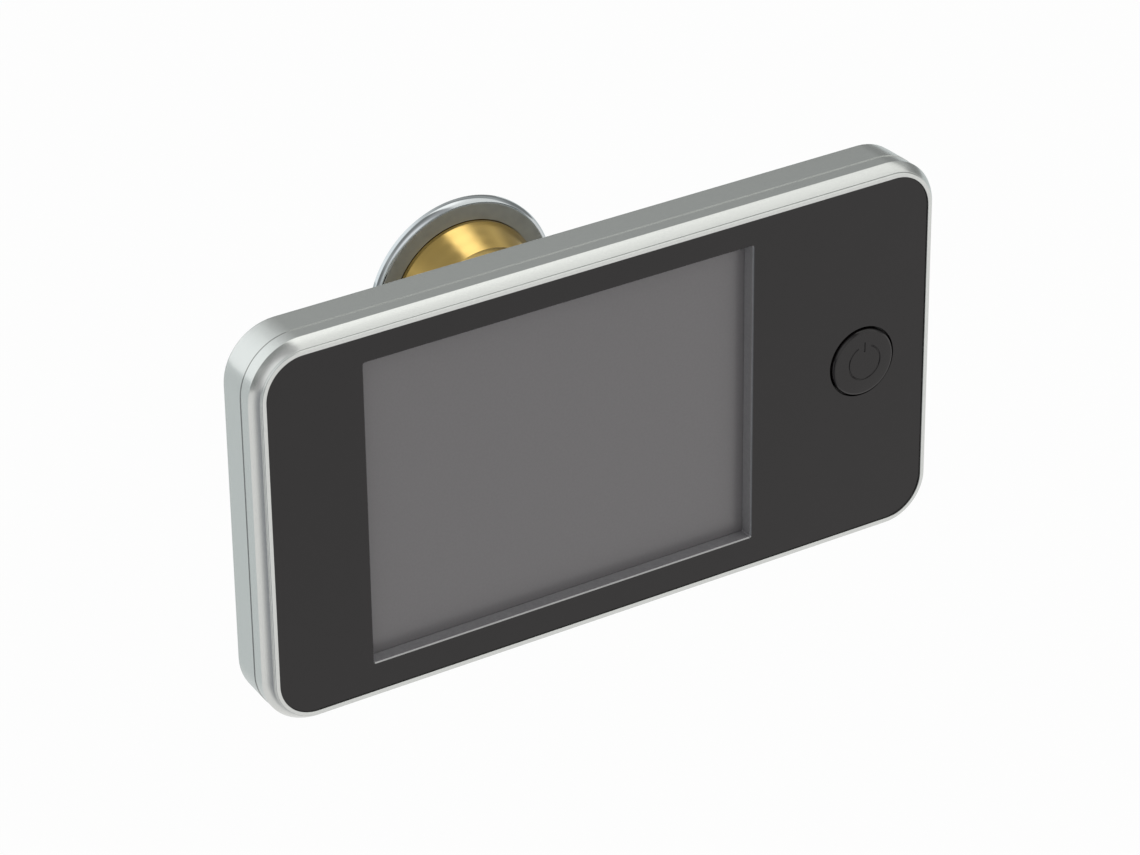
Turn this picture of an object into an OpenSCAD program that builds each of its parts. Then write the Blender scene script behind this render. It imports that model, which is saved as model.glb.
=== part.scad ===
// Peephole door camera: a flat screen unit that hangs on a steel door plate, and a brass
// camera barrel that a hollow bolt draws against the outside of the door.
// Pieces are drawn lying on their backs, z towards the viewer, and stood up at the end.
// The origin is the barrel's axis on the inner surface of the door.

/* [Face plate] */
// Width of the black face plate
face_w = 120; // [108:1:136]
// Height of the black face plate
face_h = 62.2; // [56:0.1:72]
// Width of the face left of the screen window
face_left = 16.6; // [16:0.1:20]
// Height of the face above and below the window
face_border = 4.7; // [4.4:0.1:8]
// Thickness of the face plate
face_t = 2; // [1.6:0.1:2.6]
// Corner radius of the face plate
face_r = 7; // [6:0.5:9]
// Corner radius of the screen window
window_r = 0.4; // [0.3:0.1:2]
// Width of the bevel along the window's front edge
window_bevel = 0.2; // [0.1:0.05:0.6]
// Height of the window's centre above the face's centre
window_rise = 0.2; // [0:0.1:1]

/* [Front frame] */
// Width of the frame round the face plate
frame_margin = 2.2; // [2:0.1:3]
// Depth from the face to the seam with the rear cover
frame_depth = 4.1; // [3.8:0.1:5]
// Depth from the face to the sharp edge between shoulder and side wall
edge_depth = 1.75; // [1.2:0.05:2.6]
// Width of the raised lip
lip_w = 0.85; // [0.7:0.05:1.3]
// Height of the lip above the face
lip_rise = 0.25; // [0.1:0.05:0.6]
// Radius of the lip's front edge
lip_r = 0.25; // [0.1:0.05:0.4]
// Depth of the groove outside the lip
groove_depth = 0.25; // [0.15:0.05:0.8]
// Radius of the groove's fillet
groove_r = 0.1; // [0.05:0.05:0.25]
// Bulge of the rounded shoulder
shoulder_bulge = 0.25; // [0.05:0.05:0.3]
// Draft of the frame's side wall from the sharp edge to the seam
frame_draft = 0.2; // [0:0.05:0.3]
// Gap between the screen and the ledge that carries the face plate
ledge_gap = 0.35; // [0.2:0.05:0.6]
// Thickness of that ledge
ledge_t = 1.1; // [0.8:0.1:1.4]
// Thickness of the tongue that locates the rear cover
tongue_t = 0.7; // [0.5:0.05:0.8]
// Length of that tongue
tongue_len = 1.4; // [0.8:0.1:2]

/* [Rear cover] */
// Depth from the face to the back of the side walls
skirt_depth = 10.1; // [8.6:0.1:10.6]
// Thickness of the side walls
skirt_wall = 1.8; // [1.7:0.1:2.1]
// Draft of the side walls towards the back
skirt_draft = 0.2; // [0:0.05:0.4]
// Radius of the edge round the back
skirt_edge_r = 0.6; // [0.4:0.1:1.2]
// Thickness of the flat back
back_wall = 1.6; // [1.2:0.1:1.8]
// Inset of the hump from the top and bottom
hump_inset = 6; // [5.8:0.1:7]
// Inset of the hump from the left side
hump_inset_left = 11.2; // [10:0.1:12]
// Inset of the hump from the right side
hump_inset_right = 5.4; // [5.2:0.1:6]
// Corner radius of the hump
hump_r = 4; // [3.5:0.5:6]
// Radius of the edge round the hump's back
hump_edge_r = 1.5; // [0.6:0.1:2.4]
// Wall thickness of the hump
hump_wall = 1.6; // [1.2:0.1:2]
// Diameter of the posts that carry the main board
post_d = 4.5; // [3.5:0.5:5]
// Diameter of the pins on those posts
pin_d = 1.6; // [1.2:0.1:2]
// Inset of the posts from the main board's edges
post_inset = 3.8; // [3:0.1:4.5]
// Depth of the pocket for the bolt head and the camera plug
pocket_depth = 7.4; // [6.4:0.1:8]
// Wall of that pocket
pocket_wall = 1.2; // [0.8:0.1:1.5]
// Room round the bolt head in that pocket
head_room = 1.2; // [0.8:0.1:1.6]

/* [Case screws] */
// Inset of the screws from the face plate's edges
screw_inset = 3.2; // [3:0.1:3.4]
// Diameter of the screw bosses
boss_d = 3.8; // [3.4:0.1:4]
// Diameter of the screw shanks
screw_d = 2; // [1.6:0.1:2.2]
// Diameter of the countersunk screw heads
screw_head_d = 3.4; // [3:0.1:3.6]
// Length of the screws
screw_len = 5; // [4:0.5:5.5]
// Length of the cross recess in the screw heads
recess_len = 1.8; // [1.4:0.1:2.4]
// Width of the cross recess
recess_w = 0.4; // [0.3:0.05:0.6]
// Depth of the cross recess
recess_depth = 0.4; // [0.3:0.05:0.6]

/* [Power button] */
// Diameter of the button
button_d = 11.7; // [9:0.1:13]
// Height of the button above the face
button_rise = 0.5; // [0:0.05:0.7]
// Radius of the button's rounded rim
button_edge_r = 0.5; // [0.2:0.1:0.8]
// Distance of the button's centre from the face's right edge
button_inset = 12.1; // [11:0.1:14]
// Distance of the button's centre below the face's centre
button_drop = 0.2; // [0:0.1:4]
// Travel of the button
button_travel = 0.45; // [0.2:0.05:0.6]
// Width of the button's flange behind the face plate
button_flange_w = 1; // [0.6:0.1:1.5]
// Thickness of that flange
button_flange_t = 0.7; // [0.5:0.1:1]
// Size of the square push switch
switch_w = 6; // [4.5:0.1:7]
// Height of the switch body
switch_t = 0.8; // [0.7:0.1:1.2]
// Diameter of the switch plunger
plunger_d = 2.4; // [1.8:0.1:3]
// Depth of the plunger inside the switch at rest
plunger_sink = 0.2; // [0.1:0.05:0.25]

/* [Screen] */
// Thickness of the foam gasket round the window
gasket_t = 0.5; // [0.3:0.1:0.8]
// Width of the foam gasket
gasket_w = 1.5; // [1:0.1:1.8]
// Thickness of the screen's glass
glass_t = 1.3; // [1:0.1:1.5]
// Thickness of the backlight
backlight_t = 1.8; // [1.5:0.1:2]
// Width of the rim on the backlight's back
backlight_rim = 2; // [1:0.1:3]
// Height of that rim
backlight_recess = 0.4; // [0.2:0.1:0.8]
// Border of the screen above, below and right of the window
screen_border = 1.95; // [1.9:0.05:2.2]
// Glass ledge left of the window, for the flat cable
screen_ledge = 6; // [5:0.1:6.5]
// Width of the flat cable
flex_w = 30; // [20:1:40]
// Thickness of the flat cable
flex_t = 0.2; // [0.15:0.05:0.3]
// Overhang of the flat cable beyond the glass before it bends
flex_overhang = 0.8; // [0.4:0.1:1.2]

/* [Boards] */
// Thickness of the main board
board_t = 1; // [0.8:0.1:1.2]
// Set-back of the main board from the glass at the flat cable
board_setback = 2.4; // [2:0.1:3]
// Gap between the screen and the battery tub
tub_gap = 2.25; // [2:0.05:4]
// Size of the square processor
chip_w = 10; // [8:0.5:10.5]
// Height of the processor
chip_t = 1.4; // [1:0.1:1.8]
// Height of the memory chip, which is as wide as the processor
memory_h = 8; // [6:0.5:9]
// Size of the square power coil
coil_w = 6; // [4:0.5:7]
// Height of the power coil
coil_t = 1.8; // [1.2:0.1:2.2]
// Gap round the chips
chip_gap = 1; // [0.8:0.1:1.4]
// Width of the flat cable's connector
connector_w = 4; // [3:0.1:4.5]
// Height of that connector
connector_t = 1; // [0.8:0.1:1.6]
// Thickness of the button's board
key_board_t = 0.8; // [0.6:0.1:1]
// Width of the button's board
key_board_w = 15; // [13:1:16]
// Height of the button's board
key_board_h = 22; // [16:1:30]
// Width of the ribbon between the two boards
ribbon_w = 8; // [6:0.5:12]
// Thickness of that ribbon
ribbon_t = 0.25; // [0.15:0.05:0.3]
// Width of the camera socket
socket_w = 8; // [6:0.5:10]
// Height of the camera socket
socket_h = 4.6; // [4:0.1:6]
// Length of the camera socket
socket_len = 4; // [3.6:0.1:4.4]
// Wall of the camera socket
socket_wall = 0.5; // [0.4:0.05:0.7]
// Length of the camera plug
plug_len = 3; // [2.4:0.1:3.4]

/* [Batteries] */
// Diameter of a cell
cell_d = 10.5; // [10:0.1:10.6]
// Diameter of the cell's tip
cell_tip_d = 3.8; // [3:0.1:4.5]
// Length of the cell's tip
cell_tip = 0.8; // [0.6:0.1:1.2]
// Gap beside and between the cells
cell_gap = 0.5; // [0.3:0.1:0.6]
// Thickness of the contact plates
contact_t = 0.4; // [0.3:0.05:0.5]
// Height of the contact plates
contact_h = 8; // [6:0.5:9]
// Height of the raised tips on the contact plates
contact_tip = 1.4; // [1:0.1:2]
// Length of the contact springs between plate and cell
spring_len = 2.9; // [2.4:0.1:3.2]
// Diameter of the springs at the plate
spring_d = 6.6; // [5.5:0.1:7.5]
// Diameter of the springs at the cell
spring_tip_d = 4.4; // [3.5:0.1:5]
// Diameter of the spring wire
spring_wire = 0.5; // [0.4:0.05:0.6]
// Turns of each spring
spring_turns = 2.5; // [2:0.5:3]
// Floor of the battery tub
tub_floor = 0.8; // [0.6:0.1:1.2]
// Walls of the battery tub
tub_wall = 1; // [0.8:0.1:1.2]

/* [Battery door] */
// Thickness of the battery door's back
door_t = 1.6; // [1.4:0.1:2]
// Thickness of the battery door's side walls
door_wall = 1.2; // [1:0.1:1.6]
// Travel of the battery door
door_travel = 6; // [4:0.5:10]
// Reach of the door's tongues under the hump
door_tongue = 2.5; // [1.5:0.1:3.5]
// Width of the door's tongues
door_tongue_w = 7; // [5:0.5:9]
// Thickness of the door's tongues
door_tongue_t = 0.7; // [0.5:0.05:0.8]
// Height of the rail ribs inside the door
rail_rib = 0.6; // [0.4:0.05:0.7]
// Width of the rail ribs
rail_w = 1; // [0.8:0.1:1.4]
// Number of grooves in the thumb grip
grip_count = 5; // [3:1:7]
// Spacing of those grooves
grip_pitch = 2; // [1.5:0.1:2.4]
// Width of those grooves
grip_groove = 1; // [0.6:0.1:1.2]
// Depth of those grooves
grip_depth = 0.4; // [0.2:0.1:0.6]
// Length of those grooves
grip_len = 12; // [8:0.5:20]
// Distance of the thumb grip from the hump's right side
grip_inset = 5; // [4:0.1:6]

/* [Door plate] */
// Width of the door plate
plate_w = 62; // [55:1:68]
// Height of the door plate
plate_h = 44; // [39:0.5:48]
// Distance of the plate's centre below the barrel's axis
plate_drop = 5; // [4:0.5:6]
// Thickness of the door plate
plate_t = 1.6; // [1.2:0.1:2]
// Corner radius of the door plate
plate_r = 4; // [2:0.5:6]
// Thickness of the adhesive pad behind the plate
pad_t = 0.8; // [0.5:0.1:1.5]
// Width of the hooks
hook_w = 6; // [4:0.5:6.5]
// Gap between the hooks and the pocket for the bolt head
hook_gap = 0.6; // [0.5:0.1:1.2]
// Thickness of the hooks
hook_t = 1.4; // [1:0.1:1.5]
// Height of the upper hooks above the barrel's axis
hook_top = 6; // [5:0.5:7]
// Depth of the lower hooks below the barrel's axis
hook_bottom = 16; // [15:0.5:17]
// Travel of the screen unit up off the hooks
lift_travel = 6; // [5:0.5:7]

/* [Clamp bolt] */
// Diameter of the bolt head
bolt_head_d = 29; // [26:0.5:30]
// Thickness of the bolt head
bolt_head_t = 3; // [2:0.1:3.4]
// Wall of the bolt's hollow shank
bolt_wall = 2.5; // [1.5:0.1:3]
// Gap between the bolt's end and the barrel's lens seat
bolt_gap = 1.4; // [0.8:0.1:3]
// Width of the driver slots in the bolt head
slot_w = 2.4; // [1.5:0.1:4]
// Depth of the driver slots
slot_depth = 1.6; // [0.8:0.1:1.8]

/* [Camera barrel] */
// Height of the barrel's axis above the face's centre
barrel_rise = 6; // [5:0.1:7]
// Door thickness that is held at rest
grip = 22.9; // [20:0.1:32]
// Diameter of the brass barrel at the rosette
barrel_d = 26.8; // [24:0.1:29.5]
// Wall of the barrel round its thread
barrel_wall = 1.5; // [1.2:0.1:2.5]
// Gap between the door's inner surface and the barrel
barrel_start = 1.5; // [0.8:0.1:3]
// Chamfer of the barrel's inner end
barrel_chamfer = 0.5; // [0.2:0.1:0.6]
// Width of the barrel's rim next to the rosette
barrel_rim = 0.8; // [0.4:0.1:2]
// Length of the taper from that rim to the straight tube
taper_len = 5.8; // [4:0.1:9]
// Fall of the barrel's radius along that taper
taper_drop = 2.1; // [1:0.1:2.4]
// Radial room for the thread between bolt and barrel
thread_room = 0.3; // [0.2:0.05:0.4]
// Depth of the barrel's shoulder in the rosette's back
shoulder_seat = 0.5; // [0.3:0.1:0.8]
// Length of the barrel's spigot inside the rosette
spigot_len = 3; // [2:0.1:3.2]
// Width of the barrel's shoulder round that spigot
shoulder_w = 1.9; // [1:0.1:2]
// Depth of the lens seat inside the door
seat_depth = 3.5; // [3:0.1:3.6]
// Diameter of the rosette at the door
rosette_d = 34.2; // [32:0.2:40]
// Diameter of the rosette's outer face
rosette_face_d = 30.6; // [28:0.2:32]
// Thickness of the rosette
rosette_t = 4; // [3.6:0.1:5]
// Height of the rosette's rim
rosette_rim = 1.6; // [1:0.1:2]
// Radius of the rosette's edge at the door
rosette_edge_r = 1.1; // [0.2:0.1:1.4]
// Width of the chamfer round the rosette's outer face
rosette_chamfer = 0.6; // [0.3:0.1:1]
// Fall of the rosette's outer face from its hole to that chamfer
rosette_fall = 0.2; // [0.1:0.05:0.4]
// Bulge of the rosette's sloping side
rosette_bulge = 0.15; // [0.05:0.05:0.3]

/* [Camera] */
// Diameter of the lens housing
housing_d = 18; // [16:0.5:18.5]
// Diameter of the front lens
lens_d = 13; // [10:0.5:13.5]
// Thickness of the front lens at its edge
lens_edge_t = 1.8; // [1.4:0.1:2]
// Height of the front lens's dome above its edge
lens_dome = 1.8; // [1:0.1:2.4]
// Diameter of the rear lens
rear_lens_d = 7; // [5:0.5:8]
// Distance between the rear lens and the image sensor
lens_air = 1.2; // [1:0.1:1.5]
// Thickness of the stop behind the rear lens
lens_stop_t = 0.4; // [0.3:0.1:0.6]
// Height of the lens housing above the barrel's end
housing_proud = 0.4; // [0.3:0.05:0.5]
// Size of the square image sensor
sensor_w = 6; // [4:0.5:7]
// Thickness of the image sensor
sensor_t = 1; // [0.6:0.1:1.2]
// Thickness of the sensor's board
sensor_board_t = 0.8; // [0.6:0.1:1]
// Diameter of the camera cable
cable_d = 2.6; // [1.6:0.1:3]
// Radius of the spare loop in the camera cable
cable_loop_r = 4; // [2:0.5:5]

/* [Clearances] */
// Gap between fixed pieces that fit together
fit_gap = 0.1; // [0.05:0.05:0.15]
// Gap of the seam between frame and cover
seam_gap = 0.15; // [0.1:0.05:0.3]
// Gap between pieces that slide or turn
slide_gap = 0.3; // [0.2:0.05:0.35]
// Gap between the hump and the door plate
seat_gap = 0.5; // [0.3:0.1:1]

/* [Hidden] */
$fn = 64;
// Arcs in the swept profiles have this many steps
arc_steps = 6;
// Blocks that are joined or cut run past each other by this much
lap = 1;

// Depths behind the face, from the button to the battery door
button_back = face_t + fit_gap / 2 + button_flange_t;
switch_front = button_back + button_travel + slide_gap / 2;
key_board_front = switch_front + switch_t;
tub_front = key_board_front + key_board_t + fit_gap;
cell_front = tub_front + tub_floor + fit_gap;
monitor_depth = cell_front + cell_d + slide_gap + door_t;
// Depths behind the face, from the window to the camera plug
glass_front = face_t + gasket_t;
backlight_front = glass_front + glass_t;
board_front = backlight_front + backlight_t + slide_gap;
board_back = board_front + board_t;
socket_back = board_back + socket_len;
pocket_floor = monitor_depth - pocket_depth;
// Heights above the door's inner surface
plate_front = pad_t + plate_t;
face_z = plate_front + seat_gap + monitor_depth;

// Outline of the screen unit and its hump, from the face's centre
outer_w = face_w + 2 * frame_margin;
outer_h = face_h + 2 * frame_margin;
hump_left = -outer_w / 2 + hump_inset_left;
hump_right = outer_w / 2 - hump_inset_right;
hump_w = hump_right - hump_left;
hump_x = (hump_left + hump_right) / 2;
hump_h = outer_h - 2 * hump_inset;
// Side wall of the rear cover and the rebate for the frame's tongue, outward from the face's edge
skirt_in = frame_margin - skirt_wall;
tongue_in = skirt_in + fit_gap;
rebate_out = tongue_in + tongue_t + fit_gap;

// Battery tub inside the door, and cells that fill its length
tub_right = hump_right - door_wall - slide_gap;
tub_h = hump_h - 2 * (door_wall + slide_gap);
tub_r = hump_r - door_wall - slide_gap;
bay_w = 2 * cell_d + 3 * cell_gap;
bay_h = tub_h - 2 * tub_wall;
bay_right = tub_right - tub_wall;
bay_left = bay_right - bay_w;
tub_left = bay_left - tub_wall;
cell_len = bay_h - 2 * contact_t - spring_len - contact_tip;
cell_x = [bay_left + cell_gap + cell_d / 2, bay_right - cell_gap - cell_d / 2];
cell_depth = cell_front + cell_d / 2;
rail_depth = (skirt_depth + monitor_depth) / 2;
door_tongue_y = bay_h / 2 - door_tongue_w;
door_tongue_back = monitor_depth - door_t + door_tongue_t;

// Screen and its window, between the face's left border and the battery tub
screen_right = tub_left - tub_gap;
window_right = screen_right - screen_border;
window_left = -face_w / 2 + face_left;
window_w = window_right - window_left;
window_h = face_h - 2 * face_border;
window_x = (window_left + window_right) / 2;
screen_left = window_left - screen_ledge;
screen_h = window_h + 2 * screen_border;
ledge_w = face_border - screen_border - window_rise - ledge_gap;
button_right = face_w / 2 - button_inset;
backlight_left = screen_left + screen_ledge / 2;
flex_r = (board_back + fit_gap + flex_t - backlight_front) / 2;
// Main board, its posts and the case screws
board_left = screen_left + board_setback;
board_right = tub_left - slide_gap;
board_h = hump_h - 2 * hump_wall - 2 * slide_gap;
post_x = [board_left + post_inset, board_right - post_inset];
post_y = board_h / 2 - post_inset;
screw_x = face_w / 2 - screw_inset;
screw_y = face_h / 2 - screw_inset;
screw_head_t = (screw_head_d - screw_d) / 2;
inner_back = skirt_depth - back_wall;

// Pocket, hooks and their slots
pocket_r = bolt_head_d / 2 + head_room;
hook_x = pocket_r + pocket_wall + hook_gap + hook_w / 2;
hook_neck = seat_gap + hump_wall + slide_gap;
hook_rise = lift_travel - slide_gap;
slot_drop = lift_travel + slide_gap;
hook_rows = [hook_top, -hook_bottom];

// Barrel and camera along its axis, outward from the door's inner surface
barrel_end = grip + spigot_len;
rim_start = grip - barrel_rim;
taper_start = rim_start - taper_len;
tube_d = barrel_d - 2 * taper_drop;
lens_seat = grip - seat_depth;
bolt_reach = lens_seat - bolt_gap;
spigot_d = barrel_d - 2 * shoulder_w;
thread_bore_d = tube_d - 2 * barrel_wall;
bolt_d = thread_bore_d - 2 * thread_room;
bolt_bore_d = bolt_d - 2 * bolt_wall;
housing_front = barrel_end + housing_proud;
housing_back = lens_seat + sensor_board_t + fit_gap;
sensor_front = lens_seat + sensor_board_t + sensor_t;
lens_edge = housing_front + 2 * fit_gap;
front_lens_back = lens_edge - lens_edge_t - fit_gap;
rear_lens_back = sensor_front + lens_air;
cable_start = face_z - socket_back - plug_len;
cable_turns = 1.5;
cable_rings = 36;
cable_straight = 0.1;
tube_sides = 8;
spring_sides = 6;
rings_per_turn = 10;

// Points along an arc
function arc(centre, r, from, to) = [
    for (i = [0:arc_steps])
        let (a = from + (to - from) * i / arc_steps)
        centre + r * [cos(a), sin(a)]
];

// Points along a shallow arc that bulges to the left of the line from a to b
function bulge(a, b, height) = [
    for (i = [0:arc_steps])
        let (t = i / arc_steps, side = [a[1] - b[1], b[0] - a[0]] / norm(b - a))
        a + t * (b - a) + 4 * t * (1 - t) * height * side
];

// Direction of a route at point i
function heading(route, i) =
    let (d = route[min(i + 1, len(route) - 1)] - route[max(i - 1, 0)])
    d / norm(d);

// Round tube along a route that never runs along y
module tube(route, d, sides) {
    last = len(route) - 1;
    points = [
        for (i = [0:last])
            let (
                t = heading(route, i),
                u = cross([0, 1, 0], t) / norm(cross([0, 1, 0], t)),
                v = cross(t, u)
            )
            for (k = [0:sides - 1])
                route[i] + d / 2 * (cos(360 * k / sides) * u + sin(360 * k / sides) * v)
    ];
    sides_faces = [
        for (i = [0:last - 1], k = [0:sides - 1])
            let (a = i * sides + k, b = i * sides + (k + 1) % sides)
            each [[a, a + sides, b], [b, a + sides, b + sides]]
    ];
    start_faces = [for (k = [1:sides - 2]) [0, k, k + 1]];
    end_faces = [for (k = [1:sides - 2]) [last * sides, last * sides + k + 1, last * sides + k]];
    polyhedron(points, concat(sides_faces, start_faces, end_faces));
}

module rounded_rect(w, h, r) {
    square([w - 2 * r, h], center = true);
    square([w, h - 2 * r], center = true);
    for (x = [-1, 1], y = [-1, 1])
        translate([x * (w / 2 - r), y * (h / 2 - r)])
            circle(r);
}

// Sweeps a profile round a rounded rectangle: profile x runs outward from its edge, profile y is height
module swept_ring(w, h, r) {
    for (turn = [0:3]) {
        across = turn % 2 == 0 ? w : h;
        along = (turn % 2 == 0 ? h : w) - 2 * r;
        rotate([0, 0, 90 * turn]) {
            translate([across / 2, along / 2, 0])
                rotate([90, 0, 0])
                    linear_extrude(along)
                        children();
            translate([across / 2 - r, along / 2, 0])
                rotate_extrude(angle = 90)
                    translate([r, 0])
                        children();
        }
    }
}

// Flat block between two depths behind the face
module slab(x0, x1, y0, y1, front, back) {
    translate([x0, y0, -back])
        cube([x1 - x0, y1 - y0, back - front]);
}

// Cylinder between two depths behind the face
module disc(d, front, back) {
    translate([0, 0, -back])
        cylinder(d = d, h = back - front);
}

// Ring turned about the barrel's axis, between two distances out from the door's inner surface
module turned(outer_d, inner_d, from, to) {
    translate([0, 0, -to])
        difference() {
            cylinder(d = outer_d, h = to - from);
            translate([0, 0, -lap])
                cylinder(d = inner_d, h = to - from + 2 * lap);
        }
}

// Stands a piece up, with the door behind it
module stand() {
    rotate([90, 0, 0])
        children();
}

// Moves a piece from the face's centre to the face's place in front of the door
module on_face() {
    translate([0, -barrel_rise, face_z])
        children();
}

module at_screws() {
    for (x = [-1, 1], y = [-1, 1])
        translate([x * screw_x, y * screw_y, 0])
            children();
}

module at_posts() {
    for (x = post_x, y = [-post_y, post_y])
        translate([x, y, 0])
            children();
}

// Stepped moulding: ledge, lip, groove, rounded shoulder, side wall and tongue
module frame_profile() {
    groove_out = [lip_w + groove_r, -groove_depth];
    polygon(concat(
        [[-ledge_w, -face_t - ledge_t], [tongue_in, -face_t - ledge_t]],
        [[tongue_in, -frame_depth - tongue_len], [tongue_in + tongue_t, -frame_depth - tongue_len]],
        [[tongue_in + tongue_t, -frame_depth], [frame_margin - frame_draft, -frame_depth]],
        bulge([frame_margin, -edge_depth], groove_out, -shoulder_bulge),
        arc([lip_w + groove_r, -groove_depth + groove_r], groove_r, 270, 180),
        arc([lip_w - lip_r, lip_rise - lip_r], lip_r, 0, 90),
        [[fit_gap, lip_rise], [fit_gap, -face_t], [-ledge_w, -face_t]]
    ));
}

module front_frame() {
    color("silver")
        stand()
            on_face()
                difference() {
                    union() {
                        swept_ring(face_w, face_h, face_r)
                            frame_profile();
                        at_screws()
                            disc(boss_d, face_t + ledge_t / 2, inner_back - fit_gap);
                    }
                    at_screws()
                        disc(screw_d + fit_gap, skirt_depth - screw_len - slide_gap, skirt_depth);
                }
}

// Side wall of the rear cover with its rebate and rounded back edge
module skirt_profile() {
    back_out = frame_margin - skirt_draft;
    reach = face_r - 1.5 * lap;
    polygon(concat(
        [[-reach, -inner_back], [-reach, -skirt_depth]],
        arc([back_out - skirt_edge_r, -skirt_depth + skirt_edge_r], skirt_edge_r, 270, 360),
        [[frame_margin, -frame_depth - seam_gap], [rebate_out, -frame_depth - seam_gap]],
        [[rebate_out, -frame_depth - tongue_len - fit_gap]],
        [[skirt_in, -frame_depth - tongue_len - fit_gap], [skirt_in, -inner_back]]
    ));
}

// Outer shell of the hump, shared by the rear cover and the battery door
module hump_shell(wall, back, front_depth) {
    reach = hump_r - lap;
    translate([hump_x, 0, 0]) {
        swept_ring(hump_w, hump_h, hump_r)
            polygon(concat(
                [[-wall, -front_depth], [-wall, -monitor_depth + back]],
                [[-reach, -monitor_depth + back], [-reach, -monitor_depth]],
                arc([-hump_edge_r, -monitor_depth + hump_edge_r], hump_edge_r, 270, 360),
                [[0, -front_depth]]
            ));
        translate([0, 0, -monitor_depth])
            linear_extrude(back)
                rounded_rect(hump_w - 2 * reach + lap, hump_h - 2 * reach + lap, 1.5 * lap);
    }
}

// Everything right of the line where the battery door parts from the hump
module right_of(x, gap) {
    slab(x + gap, outer_w, -outer_h, outer_h, 0, 2 * monitor_depth);
}

module left_of(x) {
    slab(-outer_w, x, -outer_h, outer_h, 0, 2 * monitor_depth);
}

// Pocket outline: the bolt head's room, drawn out downwards for the lift off the hooks
module pocket_outline(r) {
    translate([0, barrel_rise]) {
        circle(r);
        translate([0, -lift_travel])
            circle(r);
        translate([-r, -lift_travel])
            square([2 * r, lift_travel]);
    }
}

module pocket_cup() {
    difference() {
        translate([0, 0, -monitor_depth])
            linear_extrude(pocket_depth + pocket_wall)
                pocket_outline(pocket_r + pocket_wall);
        translate([0, 0, -monitor_depth - lap])
            linear_extrude(pocket_depth + lap)
                pocket_outline(pocket_r);
        translate([0, barrel_rise, 0])
            slab(
                -socket_w / 2 - slide_gap, socket_w / 2 + slide_gap,
                -socket_h / 2 - slide_gap, socket_h / 2 + slide_gap, 0, monitor_depth
            );
    }
}

// Outline of the battery tub, or of its inside
module tub_outline(inset, left) {
    intersection() {
        translate([hump_x, 0])
            rounded_rect(2 * (tub_right - hump_x - inset), tub_h - 2 * inset, tub_r - inset);
        translate([left, -outer_h])
            square([outer_w, 2 * outer_h]);
    }
}

// Battery tub: floor, end walls with rail grooves, and a partition under the hump's edge
module battery_tub() {
    rim = monitor_depth - max(hump_wall, door_t) - slide_gap;
    difference() {
        translate([0, 0, -rim])
            linear_extrude(rim - tub_front)
                tub_outline(0, tub_left);
        translate([0, 0, -2 * monitor_depth])
            linear_extrude(2 * monitor_depth - tub_front - tub_floor)
                tub_outline(tub_wall, bay_left);
        for (y = [-1, 1])
            translate([0, y * tub_h / 2, 0])
                slab(
                    bay_left + tub_wall, outer_w, -rail_rib, rail_rib,
                    rail_depth - rail_w / 2 - slide_gap, rail_depth + rail_w / 2 + slide_gap
                );
    }
}

module board_posts() {
    at_posts() {
        disc(post_d, board_back, monitor_depth - hump_wall / 2);
        disc(pin_d, board_front, board_back + lap);
    }
}

module rear_cover() {
    color("lightgray")
        stand()
            on_face()
                difference() {
                    union() {
                        difference() {
                            union() {
                                swept_ring(face_w, face_h, face_r)
                                    skirt_profile();
                                translate([0, 0, -skirt_depth])
                                    linear_extrude(back_wall)
                                        rounded_rect(
                                            face_w - 2 * (face_r - 2 * lap),
                                            face_h - 2 * (face_r - 2 * lap), 2 * lap
                                        );
                            }
                            translate([0, 0, -skirt_depth - lap])
                                linear_extrude(skirt_depth)
                                    intersection() {
                                        translate([hump_x, 0])
                                            rounded_rect(
                                                hump_w - 2 * hump_wall, hump_h - 2 * hump_wall,
                                                hump_r - hump_wall
                                            );
                                        translate([-outer_w, -outer_h])
                                            square([outer_w + bay_left, 2 * outer_h]);
                                    }
                            translate([0, 0, -skirt_depth - lap])
                                linear_extrude(skirt_depth)
                                    tub_outline(tub_wall / 2, bay_left);
                        }
                        intersection() {
                            hump_shell(hump_wall, hump_wall, skirt_depth - back_wall / 2);
                            left_of(bay_left);
                        }
                        pocket_cup();
                        battery_tub();
                        board_posts();
                    }
                    translate([0, 0, -2 * monitor_depth])
                        linear_extrude(2 * monitor_depth - pocket_floor)
                            pocket_outline(pocket_r);
                    for (x = [-hook_x, hook_x], y = hook_rows)
                        translate([x, barrel_rise + y, 0])
                            slab(
                                -hook_w / 2 - slide_gap, hook_w / 2 + slide_gap,
                                -slot_drop, hook_t + slide_gap,
                                monitor_depth - 1.5 * hump_wall, 2 * monitor_depth
                            );
                    for (y = [-door_tongue_y, door_tongue_y])
                        translate([0, y, 0])
                            slab(
                                bay_left - door_tongue - slide_gap, bay_left + slide_gap,
                                -door_tongue_w / 2 - slide_gap, door_tongue_w / 2 + slide_gap,
                                monitor_depth - 1.5 * max(hump_wall, door_t),
                                door_tongue_back + slide_gap / 2
                            );
                    at_screws() {
                        disc(screw_d + 2 * fit_gap, 0, skirt_depth);
                        translate([0, 0, -skirt_depth])
                            cylinder(
                                d1 = screw_head_d + 2 * fit_gap, d2 = screw_d + 2 * fit_gap,
                                h = screw_head_t
                            );
                    }
                }
}

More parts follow.
